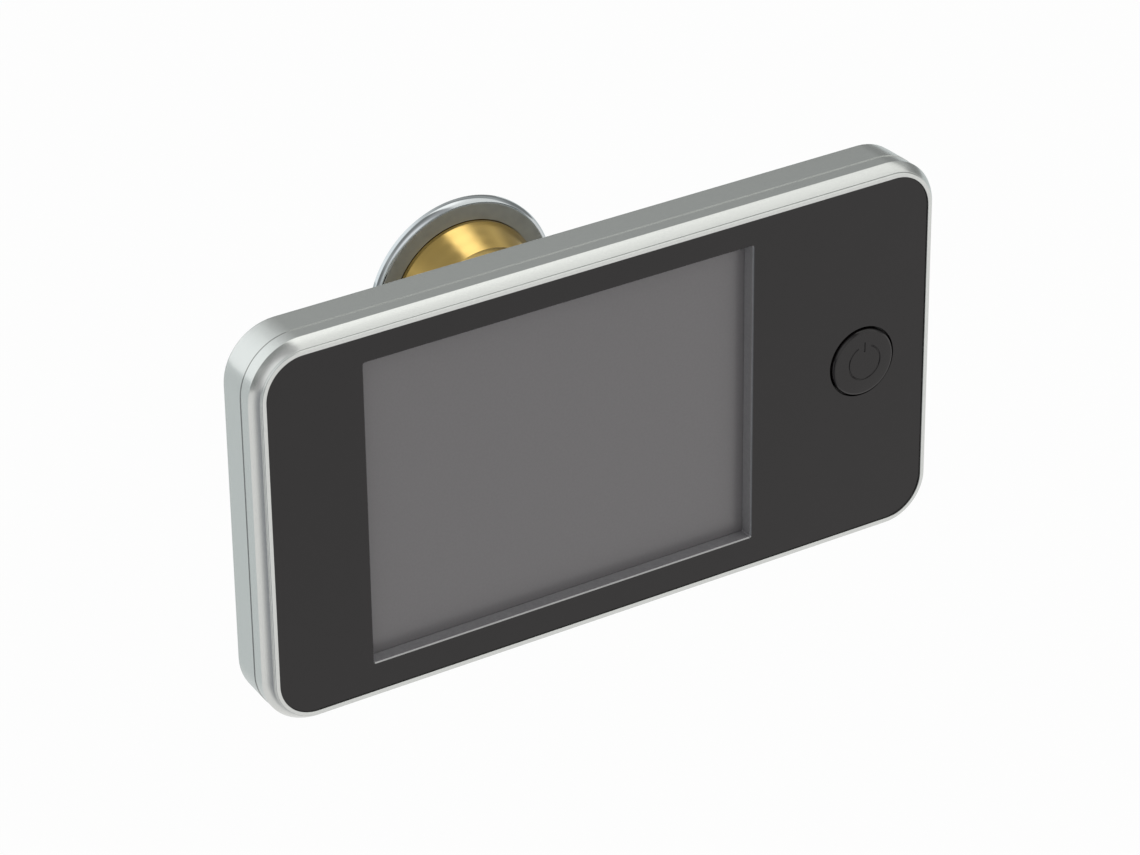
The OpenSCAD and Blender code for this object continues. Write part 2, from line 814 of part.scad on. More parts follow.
module face_plate() {
    color([0.1, 0.1, 0.1])
        stand()
            on_face()
                difference() {
                    translate([0, 0, -face_t])
                        linear_extrude(face_t)
                            difference() {
                                rounded_rect(face_w, face_h, face_r);
                                translate([window_x, window_rise])
                                    rounded_rect(window_w, window_h, window_r);
                                translate([button_right, -button_drop])
                                    circle(d = button_d + 2 * slide_gap);
                            }
                    translate([window_x, window_rise, 0])
                        swept_ring(window_w, window_h, window_r)
                            polygon([
                                [-window_bevel / 2, window_bevel], [-window_bevel / 2, -window_bevel],
                                [0, -window_bevel], [window_bevel, 0], [window_bevel, window_bevel]
                            ]);
                }
}

module screen_gasket() {
    color([0.15, 0.15, 0.15])
        stand()
            on_face()
                translate([window_x, window_rise, -glass_front])
                    linear_extrude(gasket_t)
                        difference() {
                            rounded_rect(
                                window_w + 2 * gasket_w + 2 * slide_gap,
                                window_h + 2 * gasket_w + 2 * slide_gap, gasket_w / 2
                            );
                            square([window_w + 2 * slide_gap, window_h + 2 * slide_gap], center = true);
                        }
}

module screen_glass() {
    color([0.42, 0.42, 0.43])
        stand()
            on_face()
                translate([0, window_rise, 0])
                    slab(
                        screen_left, screen_right, -screen_h / 2, screen_h / 2,
                        glass_front, backlight_front
                    );
}

// Tray with a raised rim round the light guide's back
module backlight() {
    color("whitesmoke")
        stand()
            on_face()
                translate([0, window_rise, 0])
                    difference() {
                        slab(
                            backlight_left, screen_right, -screen_h / 2, screen_h / 2,
                            backlight_front, backlight_front + backlight_t
                        );
                        slab(
                            backlight_left + backlight_rim, screen_right - backlight_rim,
                            -screen_h / 2 + backlight_rim, screen_h / 2 - backlight_rim,
                            backlight_front + backlight_t - backlight_recess, board_front
                        );
                    }
}

// Flat cable from the glass ledge, round the main board's edge to its back
module screen_flex() {
    bend_x = screen_left - flex_overhang;
    end_x = post_x[0] + post_d;
    color("orange")
        stand()
            on_face()
                translate([0, window_rise + flex_w / 2, 0])
                    rotate([90, 0, 0])
                        linear_extrude(flex_w) {
                            translate([bend_x, -backlight_front - flex_t])
                                square([backlight_left - fit_gap - bend_x, flex_t]);
                            translate([bend_x, -backlight_front - 2 * flex_r])
                                square([end_x - bend_x, flex_t]);
                            translate([bend_x, -backlight_front - flex_r])
                                difference() {
                                    circle(flex_r);
                                    circle(flex_r - flex_t);
                                    translate([0, -outer_w])
                                        square([outer_w, 2 * outer_w]);
                                }
                        }
}

module main_board() {
    color("darkgreen")
        stand()
            on_face()
                difference() {
                    slab(board_left, board_right, -board_h / 2, board_h / 2, board_front, board_back);
                    at_posts()
                        disc(pin_d + 2 * fit_gap, 0, monitor_depth);
                }
}

// Processor, memory, power coil, regulator and cable connector on the back of the main board
module board_chips() {
    chip_x = -pocket_r - pocket_wall - chip_gap - chip_w / 2;
    coil_y = -board_h / 2 + chip_gap + coil_w / 2;
    chips = [
        [[chip_x, chip_gap + chip_w / 2], [chip_w, chip_w, chip_t]],
        [[chip_x, -chip_gap - memory_h / 2], [chip_w, memory_h, chip_t]],
        [[-coil_w, coil_y], [coil_w, coil_w, coil_t]],
        [[coil_w, coil_y], [coil_w, coil_w, chip_t]]
    ];
    connector_x = post_x[0] + post_d + fit_gap;
    color([0.2, 0.2, 0.2])
        stand()
            on_face() {
                for (c = chips)
                    translate(c[0])
                        slab(
                            -c[1][0] / 2, c[1][0] / 2, -c[1][1] / 2, c[1][1] / 2,
                            board_back, board_back + c[1][2]
                        );
            }
    color("ivory")
        stand()
            on_face()
                translate([connector_x, window_rise, 0])
                    slab(
                        0, connector_w, -flex_w / 2, flex_w / 2,
                        board_back, board_back + connector_t
                    );
}

module camera_socket() {
    color("ivory")
        stand()
            on_face()
                translate([0, barrel_rise, 0])
                    difference() {
                        slab(
                            -socket_w / 2, socket_w / 2, -socket_h / 2, socket_h / 2,
                            board_back, socket_back
                        );
                        slab(
                            -socket_w / 2 + socket_wall, socket_w / 2 - socket_wall,
                            -socket_h / 2 + socket_wall, socket_h / 2 - socket_wall,
                            board_back + socket_len / 2, socket_back + lap
                        );
                    }
}

// Plug with its nose inside the socket
module camera_plug() {
    wall = socket_wall + fit_gap;
    color("white")
        stand()
            on_face()
                translate([0, barrel_rise, 0]) {
                    slab(
                        -socket_w / 2, socket_w / 2, -socket_h / 2, socket_h / 2,
                        socket_back + fit_gap, socket_back + plug_len
                    );
                    slab(
                        -socket_w / 2 + wall, socket_w / 2 - wall,
                        -socket_h / 2 + wall, socket_h / 2 - wall,
                        board_back + socket_len / 2 + fit_gap, socket_back + plug_len / 2
                    );
                }
}

module key_board() {
    color("darkgreen")
        stand()
            on_face()
                translate([button_right, -button_drop, 0])
                    slab(
                        -key_board_w / 2, key_board_w / 2, -key_board_h / 2, key_board_h / 2,
                        key_board_front, key_board_front + key_board_t
                    );
}

// Ribbon from the button's board down to the uncovered edge of the main board
module key_ribbon() {
    board_edge = screen_right + fit_gap;
    key_edge = button_right - key_board_w / 2;
    color("orange")
        stand()
            on_face()
                translate([0, ribbon_w / 2 - button_drop, 0])
                    rotate([90, 0, 0])
                        linear_extrude(ribbon_w) {
                            translate([board_edge, -key_board_front - ribbon_t])
                                square([key_edge - fit_gap - board_edge, ribbon_t]);
                            translate([board_edge, -board_front + fit_gap])
                                square([ribbon_t, board_front - fit_gap - key_board_front]);
                        }
}

module push_switch() {
    color([0.2, 0.2, 0.2])
        stand()
            on_face()
                translate([button_right, -button_drop, 0])
                    difference() {
                        slab(
                            -switch_w / 2, switch_w / 2, -switch_w / 2, switch_w / 2,
                            switch_front, key_board_front
                        );
                        disc(plunger_d + slide_gap, 0, key_board_front - fit_gap / 2);
                    }
}

module switch_plunger() {
    color("dimgray")
        stand()
            on_face()
                translate([button_right, -button_drop, 0])
                    disc(plunger_d, button_back, switch_front + plunger_sink);
}

// Button cap with a rounded rim, and a flange that stops against the face plate
module power_button() {
    rim = [button_d / 2 - button_edge_r, button_rise - button_edge_r];
    color([0.12, 0.12, 0.12])
        stand()
            on_face()
                translate([button_right, -button_drop, 0])
                    rotate_extrude()
                        polygon(concat(
                            [[0, -button_back], [button_d / 2 + button_flange_w, -button_back]],
                            [[button_d / 2 + button_flange_w, -face_t - fit_gap / 2]],
                            [[button_d / 2, -face_t - fit_gap / 2]],
                            arc(rim, button_edge_r, 0, 90),
                            [[0, button_rise]]
                        ));
}

// One cell along y, tip up, its foot at the origin
module cell() {
    rotate([-90, 0, 0]) {
        cylinder(d = cell_d, h = cell_len - cell_tip);
        cylinder(d = cell_tip_d, h = cell_len);
    }
}

// Puts the left cell tip up and the right one tip down
module at_cells() {
    for (i = [0, 1])
        translate([cell_x[i], 0, -cell_depth])
            rotate([0, 0, 180 * i])
                children();
}

module batteries() {
    color("steelblue")
        stand()
            on_face()
                at_cells()
                    translate([0, -bay_h / 2 + contact_t + spring_len, 0])
                        cell();
}

// Plate that joins the two cells at the bottom, with a raised tip for the right cell
module bridge_contact() {
    color("gainsboro")
        stand()
            on_face() {
                translate([0, -bay_h / 2, 0])
                    slab(
                        cell_x[0] - contact_h / 2, cell_x[1] + contact_h / 2, 0, contact_t,
                        cell_depth - contact_h / 2, cell_depth + contact_h / 2
                    );
                translate([cell_x[1], -bay_h / 2, -cell_depth])
                    rotate([-90, 0, 0])
                        cylinder(d = cell_tip_d, h = contact_t + contact_tip);
            }
}

// Separate plates at the top: a raised tip on the left, a spring seat on the right
module end_contacts() {
    color("gainsboro")
        stand()
            on_face() {
                for (x = cell_x)
                    translate([x, bay_h / 2, 0])
                        slab(
                            -contact_h / 2, contact_h / 2, -contact_t, 0,
                            cell_depth - contact_h / 2, cell_depth + contact_h / 2
                        );
                translate([cell_x[0], bay_h / 2, -cell_depth])
                    rotate([90, 0, 0])
                        cylinder(d = cell_tip_d, h = contact_t + contact_tip);
            }
}

// Conical springs under the cells' feet
module contact_springs() {
    steps = spring_turns * rings_per_turn;
    foot = -bay_h / 2 + contact_t + spring_wire / 2 + fit_gap / 2;
    climb = spring_len - spring_wire - fit_gap;
    route = [
        for (i = [0:steps])
            let (
                t = i / steps,
                a = 360 * i / rings_per_turn,
                r = (spring_d + (spring_tip_d - spring_d) * t - spring_wire) / 2
            )
            [r * cos(a), foot + climb * t, r * sin(a)]
    ];
    color("gainsboro")
        stand()
            on_face()
                at_cells()
                    tube(route, spring_wire, spring_sides);
}

// Right end of the hump, with tongues, rail ribs and a thumb grip
module battery_door() {
    rib_len = tub_right - bay_left - 2 * door_travel;
    color("lightgray")
        stand()
            on_face()
                difference() {
                    union() {
                        intersection() {
                            hump_shell(door_wall, door_t, skirt_depth + slide_gap);
                            right_of(bay_left, fit_gap);
                        }
                        for (y = [-1, 1]) {
                            translate([0, y * (hump_h / 2 - door_wall), 0])
                                slab(
                                    bay_left + door_travel / 2, bay_left + door_travel / 2 + rib_len,
                                    y > 0 ? -rail_rib : -door_wall / 2, y > 0 ? door_wall / 2 : rail_rib,
                                    rail_depth - rail_w / 2, rail_depth + rail_w / 2
                                );
                            translate([0, y * door_tongue_y, 0])
                                slab(
                                    bay_left - door_tongue, bay_left + door_tongue,
                                    -door_tongue_w / 2, door_tongue_w / 2,
                                    monitor_depth - door_t, door_tongue_back
                                );
                        }
                    }
                    for (i = [0:grip_count - 1])
                        translate([hump_right - grip_inset - i * grip_pitch, 0, 0])
                            slab(
                                -grip_groove / 2, grip_groove / 2, -grip_len / 2, grip_len / 2,
                                monitor_depth - grip_depth, monitor_depth + lap
                            );
                }
}

// Countersunk screws with cross recesses
module case_screws() {
    color("gainsboro")
        stand()
            on_face()
                at_screws()
                    difference() {
                        union() {
                            disc(screw_d, skirt_depth - screw_len, skirt_depth - screw_head_t / 2);
                            translate([0, 0, -skirt_depth])
                                cylinder(d1 = screw_head_d, d2 = screw_d, h = screw_head_t);
                        }
                        for (a = [0, 90])
                            rotate([0, 0, a])
                                slab(
                                    -recess_len / 2, recess_len / 2, -recess_w / 2, recess_w / 2,
                                    skirt_depth - recess_depth, skirt_depth + lap
                                );
                    }
}

module plate_outline() {
    difference() {
        translate([0, -plate_drop])
            rounded_rect(plate_w, plate_h, plate_r);
        for (x = [-hook_x, hook_x], y = hook_rows)
            translate([x - hook_w / 2 - slide_gap, y - hook_rise - hook_t])
                square([hook_w + 2 * slide_gap, hook_rise + hook_t]);
    }
}

// Pressed steel plate with four hooks bent out of their windows
module door_plate() {
    color("silver")
        stand() {
            translate([0, 0, pad_t])
                linear_extrude(plate_t)
                    difference() {
                        plate_outline();
                        circle(d = bolt_d + 2 * slide_gap);
                    }
            for (x = [-hook_x, hook_x], y = hook_rows)
                translate([x - hook_w / 2, y, pad_t]) {
                    cube([hook_w, hook_t, plate_t + hook_neck + hook_t]);
                    translate([0, 0, plate_t + hook_neck])
                        cube([hook_w, hook_rise, hook_t]);
                }
        }
}

module plate_pad() {
    color([0.75, 0.75, 0.73])
        stand()
            linear_extrude(pad_t)
                difference() {
                    plate_outline();
                    circle(d = barrel_d + 4 * slide_gap);
                }
}

// Hollow bolt with driver slots across its head
module clamp_bolt() {
    color("silver")
        stand()
            difference() {
                translate([0, 0, -bolt_reach])
                    rotate_extrude()
                        polygon([
                            [bolt_bore_d / 2, 0],
                            [bolt_d / 2 - barrel_chamfer, 0],
                            [bolt_d / 2, barrel_chamfer],
                            [bolt_d / 2, bolt_reach + plate_front],
                            [bolt_head_d / 2, bolt_reach + plate_front],
                            [bolt_head_d / 2, bolt_reach + plate_front + bolt_head_t - barrel_chamfer],
                            [bolt_head_d / 2 - barrel_chamfer, bolt_reach + plate_front + bolt_head_t],
                            [bolt_bore_d / 2, bolt_reach + plate_front + bolt_head_t]
                        ]);
                for (a = [0, 90])
                    rotate([0, 0, a])
                        translate([-bolt_head_d, -slot_w / 2, plate_front + bolt_head_t - slot_depth])
                            cube([2 * bolt_head_d, slot_w, 2 * slot_depth]);
            }
}

// Turned barrel: threaded bore for the bolt, taper up to a rim, and a spigot with the lens seat
module brass_barrel() {
    color("goldenrod")
        stand()
            rotate_extrude()
                polygon([
                    [thread_bore_d / 2, -barrel_start],
                    [tube_d / 2 - barrel_chamfer, -barrel_start],
                    [tube_d / 2, -barrel_start - barrel_chamfer],
                    [tube_d / 2, -taper_start],
                    [barrel_d / 2, -rim_start],
                    [barrel_d / 2, -grip - shoulder_seat],
                    [spigot_d / 2, -grip - shoulder_seat],
                    [spigot_d / 2, -barrel_end],
                    [housing_d / 2 + fit_gap, -barrel_end],
                    [housing_d / 2 + fit_gap, -lens_seat],
                    [thread_bore_d / 2, -lens_seat]
                ]);
}

// Chromed rosette: flat towards the door, with a rounded rim and a domed outer face
module rosette() {
    hole = housing_d / 2 + 4 * fit_gap;
    front = grip + rosette_t;
    shoulder = grip + shoulder_seat;
    side_end = [rosette_face_d / 2, -front + rosette_fall + rosette_chamfer];
    face_edge = [rosette_face_d / 2 - rosette_chamfer, -front + rosette_fall];
    color([0.8, 0.82, 0.82])
        stand()
            rotate_extrude()
                polygon(concat(
                    [[hole, -front + rosette_fall], [hole, -barrel_end - fit_gap]],
                    [[spigot_d / 2 + fit_gap, -barrel_end - fit_gap]],
                    [[spigot_d / 2 + fit_gap, -shoulder], [barrel_d / 2 + fit_gap, -shoulder]],
                    [[barrel_d / 2 + fit_gap, -grip]],
                    arc([rosette_d / 2 - rosette_edge_r, -grip - rosette_edge_r], rosette_edge_r, 90, 0),
                    bulge([rosette_d / 2, -grip - rosette_rim], side_end, rosette_bulge),
                    bulge(face_edge, [hole + rosette_chamfer, -front], rosette_fall / 2)
                ));
}

// Black housing that holds both lenses in front of the image sensor
module lens_housing() {
    color([0.1, 0.1, 0.1])
        stand()
            rotate_extrude()
                polygon([
                    [sensor_w * 0.8, -housing_back],
                    [housing_d / 2, -housing_back],
                    [housing_d / 2, -housing_front],
                    [lens_d / 2 + fit_gap, -housing_front],
                    [lens_d / 2 + fit_gap, -front_lens_back],
                    [rear_lens_d / 2 + fit_gap, -front_lens_back],
                    [rear_lens_d / 2 + fit_gap, -rear_lens_back],
                    [sensor_w * 0.8, -rear_lens_back + lens_stop_t]
                ]);
}

// Wide lens with a domed outer face
module front_lens() {
    dome_r = (lens_d * lens_d / 4 + lens_dome * lens_dome) / (2 * lens_dome);
    color([0.55, 0.6, 0.65])
        stand() {
            translate([0, 0, -lens_edge])
                cylinder(d = lens_d, h = lens_edge_t);
            intersection() {
                translate([0, 0, -lens_edge - lens_dome + dome_r])
                    sphere(dome_r);
                translate([0, 0, -lens_edge - lens_dome - lap])
                    cylinder(d = lens_d, h = lens_dome + lap + fit_gap);
            }
        }
}

module rear_lens() {
    color([0.55, 0.6, 0.65])
        stand()
            translate([0, 0, -front_lens_back + fit_gap])
                cylinder(d = rear_lens_d, h = front_lens_back - rear_lens_back - 2 * fit_gap);
}

// Trim ring that holds the front lens, flush with the rosette's face
module lens_ring() {
    color([0.1, 0.1, 0.1])
        stand()
            turned(
                housing_d + 6 * fit_gap, lens_d + 2 * fit_gap,
                housing_front + fit_gap, grip + rosette_t
            );
}

module sensor_board() {
    color("darkgreen")
        stand()
            translate([0, 0, -lens_seat - sensor_board_t])
                cylinder(d = housing_d - 4 * fit_gap, h = sensor_board_t);
}

module image_sensor() {
    color([0.2, 0.2, 0.25])
        stand()
            translate([-sensor_w / 2, -sensor_w / 2, -sensor_front])
                cube([sensor_w, sensor_w, sensor_t]);
}

// Cable from the plug through the bolt's bore to the sensor board, with a spare loop for thicker doors
module camera_cable() {
    route = [
        for (i = [0:cable_rings])
            let (
                t = i / cable_rings,
                a = 360 * cable_turns * t,
                bow = min(max((t - cable_straight) / (1 - 2 * cable_straight), 0), 1),
                r = cable_loop_r * pow(sin(180 * bow), 2)
            )
            [r * cos(a), r * sin(a), cable_start - t * (cable_start + lens_seat)]
    ];
    color([0.15, 0.15, 0.15])
        stand()
            tube(route, cable_d, tube_sides);
}

front_frame();
rear_cover();
face_plate();
screen_gasket();
screen_glass();
backlight();
screen_flex();
main_board();
board_chips();
camera_socket();
camera_plug();
key_board();
key_ribbon();
push_switch();
switch_plunger();
power_button();
batteries();
bridge_contact();
end_contacts();
contact_springs();
battery_door();
case_screws();
door_plate();
plate_pad();
clamp_bolt();
brass_barrel();
rosette();
lens_housing();
front_lens();
rear_lens();
lens_ring();
sensor_board();
image_sensor();
camera_cable();
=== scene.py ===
"""Looks of the peephole door camera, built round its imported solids.

Lengths are in millimetres in the part's own frame and become metres where a mesh is made.
The barrel's axis is Y, the door's inner surface is Y = 0, and the screen unit faces -Y.
"""

import math

import bmesh
import bpy
from mathutils import Matrix, Vector


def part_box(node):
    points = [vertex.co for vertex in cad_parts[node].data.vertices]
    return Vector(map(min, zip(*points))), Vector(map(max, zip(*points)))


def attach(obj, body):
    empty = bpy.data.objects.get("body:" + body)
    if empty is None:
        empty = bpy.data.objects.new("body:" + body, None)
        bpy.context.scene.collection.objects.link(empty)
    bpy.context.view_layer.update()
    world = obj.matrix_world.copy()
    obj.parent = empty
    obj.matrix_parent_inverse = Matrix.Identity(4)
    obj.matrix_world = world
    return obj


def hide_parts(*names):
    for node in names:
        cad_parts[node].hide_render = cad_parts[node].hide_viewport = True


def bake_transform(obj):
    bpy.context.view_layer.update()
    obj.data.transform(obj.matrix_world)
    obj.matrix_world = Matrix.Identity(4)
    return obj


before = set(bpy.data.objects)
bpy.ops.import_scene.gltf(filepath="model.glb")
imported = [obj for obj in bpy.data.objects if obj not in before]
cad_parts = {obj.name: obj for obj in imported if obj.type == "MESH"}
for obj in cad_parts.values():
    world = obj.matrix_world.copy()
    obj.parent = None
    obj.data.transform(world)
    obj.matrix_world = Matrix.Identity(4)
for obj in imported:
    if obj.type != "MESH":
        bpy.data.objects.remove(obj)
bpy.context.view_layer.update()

MM = 0.001
scene = bpy.context.scene

# Face plate of the screen unit: its front plane, its centre height and its size
face_low, face_high = (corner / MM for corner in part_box("face_plate"))
FACE_Y = face_low.y
FACE_Z = (face_low.z + face_high.z) / 2
FACE_W = face_high.x - face_low.x
FACE_H = face_high.z - face_low.z
FACE_R = 6.4
FACE_T = face_high.y - face_low.y

# Screen window and button, from the face's centre
WINDOW_W, WINDOW_H, WINDOW_R = 70.0, 52.8, 0.25
WINDOW_X, WINDOW_Z = -8.4, 0.2
BUTTON_X, BUTTON_Z = 47.9, -0.2
BUTTON_R, BUTTON_HOLE_R = 5.85, 6.15

# Camera that took the photograph: place, aim, roll and lens for a picture 1140 wide and 855 high
CAMERA_PLACE = Vector((-331.654, -548.770, 348.970))
CAMERA_AIM = Vector((-4.830, -17.072, -4.180))
CAMERA_ROLL = -0.697
CAMERA_LENS = 144.856
SENSOR_W = 36.0


# Shapes

def on_face(x, z, depth):
    """Point of the part from its place on the face and its depth behind it."""
    return Vector((x, FACE_Y + depth, FACE_Z + z))


def arc(cx, cy, r, start, end, steps=8):
    """Points along an arc, angles in degrees."""
    angles = [math.radians(start + (end - start) * i / steps) for i in range(steps + 1)]
    return [(cx + r * math.cos(a), cy + r * math.sin(a)) for a in angles]


def bulged(a, b, height, steps=8):
    """Points along a shallow arc that bulges to the left of the line from a to b."""
    along = Vector(b) - Vector(a)
    side = Vector((-along.y, along.x)).normalized()
    ts = [i / steps for i in range(steps + 1)]
    return [tuple(Vector(a) + t * along + 4 * t * (1 - t) * height * side) for t in ts]


QUADRANTS = ((1, 1), (-1, 1), (-1, -1), (1, -1))
# Steps round each corner of the case
CORNER_STEPS = 24


def directions(steps):
    """Quadrant and outward direction at each place round a rounded rectangle's corners."""
    made = []
    for turn in range(4):
        for i in range(steps + 1):
            a = math.radians(90 * (turn + i / steps))
            made.append((turn, math.cos(a), math.sin(a)))
    return made


def skin(rings, ring_closed, path_closed):
    """Points and faces of a surface through rings of points."""
    n = len(rings[0])
    points = [p for ring in rings for p in ring]
    faces = []
    for i in range(len(rings) - (not path_closed)):
        j = (i + 1) % len(rings)
        for k in range(n - (not ring_closed)):
            m = (k + 1) % n
            faces.append((i * n + k, i * n + m, j * n + m, j * n + k))
    return points, faces


def swept(profile, w, h, r, spread):
    """Closed profile (outward, depth) carried round a rounded rectangle.

    The corner radius grows by spread for each millimetre outward.
    """
    rings = []
    for turn, c, s in directions(CORNER_STEPS):
        ring = []
        for out, depth in profile:
            radius = r + out * spread
            across = QUADRANTS[turn][0] * (w / 2 + out - radius) + radius * c
            up = QUADRANTS[turn][1] * (h / 2 + out - radius) + radius * s
            ring.append(on_face(across, up, depth))
        rings.append(ring)
    return skin(rings, True, True)


def turned(profile, x=0.0, z=0.0, sides=128, closed=False):
    """Profile (radius, y) turned about an axis along Y."""
    rings = []
    for i in range(sides):
        a = 2 * math.pi * i / sides
        rings.append([Vector((x + r * math.cos(a), y, z + r * math.sin(a))) for r, y in profile])
    return skin(rings, closed, True)


def bar_rings(path, r, sides, aside):
    """Rings of points round a path; aside is a direction that the path never takes."""
    rings = []
    for i, p in enumerate(path):
        ahead = (path[min(i + 1, len(path) - 1)] - path[max(i - 1, 0)]).normalized()
        across = ahead.cross(aside).normalized()
        up = across.cross(ahead)
        angles = [2 * math.pi * k / sides for k in range(sides)]
        rings.append([p + r * (math.cos(a) * across + math.sin(a) * up) for a in angles])
    return rings


def bar(rings):
    """Bar through rings of points, closed at both ends."""
    points, faces = skin(rings, True, False)
    sides, last = len(rings[0]), len(points) - len(rings[0])
    faces.append(tuple(range(sides)))
    faces.append(tuple(last + k for k in range(sides)))
    return points, faces


def block(low, high):
    """Box between two corners."""
    ring = ((0, 0), (1, 0), (1, 1), (0, 1))
    ends = (low, high)
    return bar([[Vector((ends[i].x, ends[j].y, ends[k].z)) for i, j in ring] for k in (0, 1)])


def upright(made, x, y):
    """Shape about the Y axis, stood up along Z at a place."""
    points, faces = made
    return [Vector((x + p.x, y - p.z, p.y)) for p in points], faces


def joined(*shapes):
    """Several shapes as one."""
    points, faces = [], []
    for more, its in shapes:
        faces += [tuple(i + len(points) for i in face) for face in its]
        points += more
    return points, faces


# Distance in metres under which two points are one, in a new mesh and in a copy of a solid
MERGE_NEW, MERGE_COPY = 5e-7, 1e-6


def clean(mesh, sharp):
    """Merges doubles, turns faces outward and marks the edges sharper than an angle in degrees."""
    bm = bmesh.new()
    bm.from_mesh(mesh)
    bmesh.ops.remove_doubles(bm, verts=bm.verts, dist=MERGE_NEW)
    bmesh.ops.recalc_face_normals(bm, faces=bm.faces)
    for face in bm.faces:
        face.smooth = True
    bm.to_mesh(mesh)
    bm.free()
    mesh.set_sharp_from_angle(angle=math.radians(sharp))


def solid(name, made, sharp=30):
    """New object from points in millimetres and faces."""
    points, faces = made
    mesh = bpy.data.meshes.new(name)
    mesh.from_pydata([p * MM for p in points], [], faces)
    clean(mesh, sharp)
    piece = bpy.data.objects.new(name, mesh)
    scene.collection.objects.link(piece)
    return piece


def bake(piece):
    """Applies the piece's modifiers."""
    bpy.context.view_layer.update()
    graph = bpy.context.evaluated_depsgraph_get()
    mesh = bpy.data.meshes.new_from_object(piece.evaluated_get(graph))
    piece.modifiers.clear()
    piece.data = mesh
    mesh.name = piece.name


def cut(piece, tool):
    """Takes the tool's shape out of the piece."""
    knife = piece.modifiers.new("cut", "BOOLEAN")
    knife.object = tool
    knife.solver = "EXACT"
    bake(piece)
    bpy.data.objects.remove(tool)


def fit(piece, material, body, node, sharp=30, also=()):
    """Smooths a finished piece, dresses it and hands it to its body in place of a solid.

    also lists further materials, each with a test for the faces that wear it.
    """
    clean(piece.data, sharp)
    piece.modifiers.new("even", "WEIGHTED_NORMAL").keep_sharp = True
    bake(piece)
    mesh = piece.data
    mesh.materials.clear()
    mesh.materials.append(material)
    for number, (other, where) in enumerate(also, 1):
        mesh.materials.append(other)
        for face in mesh.polygons:
            if where(face.center / MM, face.normal):
                face.material_index = number
    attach(piece, body)
    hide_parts(node)


# Materials

def colour(code):
    """Linear colour of an sRGB hex code."""
    channels = [int(code[i:i + 2], 16) / 255 for i in (1, 3, 5)]
    linear = [c / 12.92 if c <= 0.04045 else ((c + 0.055) / 1.055) ** 2.4 for c in channels]
    return (*linear, 1.0)


def per(size):
    """Texture scale for a feature of that size in millimetres."""
    return 1 / (size * MM)


def add(tree, kind, inputs=None, stops=(), family="ShaderNode", **settings):
    """Adds a node with its settings, its colour stops, its values and its links."""
    node = tree.nodes.new(family + kind)
    for key, value in settings.items():
        setattr(node, key, value)
    for i, (position, tone) in enumerate(stops):
        elements = node.color_ramp.elements
        stop = elements[i] if i < len(elements) else elements.new(position)
        stop.position, stop.color = position, tone
    for key, value in (inputs or {}).items():
        if isinstance(value, bpy.types.NodeSocket):
            tree.links.new(value, node.inputs[key])
        else:
            node.inputs[key].default_value = value
    return node


def new_material(name):
    """Empty material, its tree and its Object coordinates."""
    material = bpy.data.materials.new(name)
    material.use_nodes = True
    tree = material.node_tree
    tree.nodes.clear()
    return material, tree, add(tree, "TexCoord").outputs["Object"]


# Span of a noise pattern that tones and gloss run over
NOISE_LOW, NOISE_HIGH = 0.3, 0.7
# Height of a grain's relief as a share of its size
RELIEF = 0.25


def noise_stops(dark, light):
    """Colour stops from dark to light over the span of a noise pattern."""
    return (NOISE_LOW, colour(dark)), (NOISE_HIGH, colour(light))


def speckled(name, dark, light, grain, rough, bump=0.0, **shader):
    """Surface whose tone, gloss and relief follow one fine grain of that size in millimetres."""
    material, tree, place = new_material(name)
    noise = add(tree, "TexNoise", {"Vector": place, "Scale": per(grain)}).outputs["Fac"]
    tone = add(tree, "ValToRGB", {"Fac": noise}, noise_stops(dark, light))
    gloss = add(tree, "MapRange", {
        "Value": noise, "From Min": NOISE_LOW, "From Max": NOISE_HIGH,
        "To Min": rough[0], "To Max": rough[1],
    })
    inputs = {"Base Color": tone.outputs["Color"], "Roughness": gloss.outputs["Result"], **shader}
    if bump:
        relief = add(tree, "Bump", {
            "Height": noise, "Strength": bump, "Distance": RELIEF * grain * MM,
        })
        inputs["Normal"] = relief.outputs["Normal"]
    principled = add(tree, "BsdfPrincipled", inputs)
    add(tree, "OutputMaterial", {"Surface": principled.outputs["BSDF"]})
    return material


# Aluminium-flake lacquer on moulded ABS: satin, slightly green, flakes just visible close by;
# the flakes are drawn at 0.3 mm, coarser than real ones, so that they show
silver = speckled(
    "flake_lacquer_on_ABS", "#CCCECD", "#D2D4D2", 0.3, (0.21, 0.25),
    Metallic=0.92, IOR=1.5,
)
# Polished black ABS: deep black with an almost mirror-like gloss and a trace of moulding haze
black_abs = speckled("polished_black_ABS", "#0E0A0C", "#110D0F", 6.0, (0.10, 0.15), IOR=1.44)
# Sawn edge of the same plastic: no gloss, scatters light to a mid grey
sawn_edge = speckled("sawn_plastic_edge", "#7F7E81", "#89888B", 0.5, (0.4, 0.5), IOR=1.49)
# Polished bevel along that edge: mirrors the lamp where it faces up
bright_bevel = speckled(
    "polished_plastic_bevel", "#949495", "#9C9C9D", 1.0, (0.12, 0.16), Metallic=0.9, IOR=1.49,
)
# Matte polariser film on an unlit liquid-crystal panel: neutral grey, a little mirrored by the
# layers below
lcd = speckled(
    "matte_polariser_film", "#6B696B", "#6E6C6E", 0.4, (0.3, 0.35), Metallic=0.05, IOR=1.49,
)
# Closed-cell polyethylene foam: dead black with open skin cells
foam = speckled("closed_cell_foam", "#1C1C1C", "#2A2A2A", 0.6, (0.8, 0.95), 0.5, IOR=1.5)
# Pale closed-cell foam of an adhesive pad: matte, with fine open cells at its surface
pale_foam = speckled("pale_EVA_foam", "#BEBDB8", "#CAC9C4", 0.6, (0.8, 0.95), 0.5, IOR=1.5)
# Natural nylon: milky white
nylon = speckled("natural_nylon", "#E2E1DA", "#ECEBE6", 1.5, (0.35, 0.5), 0.05, IOR=1.53)
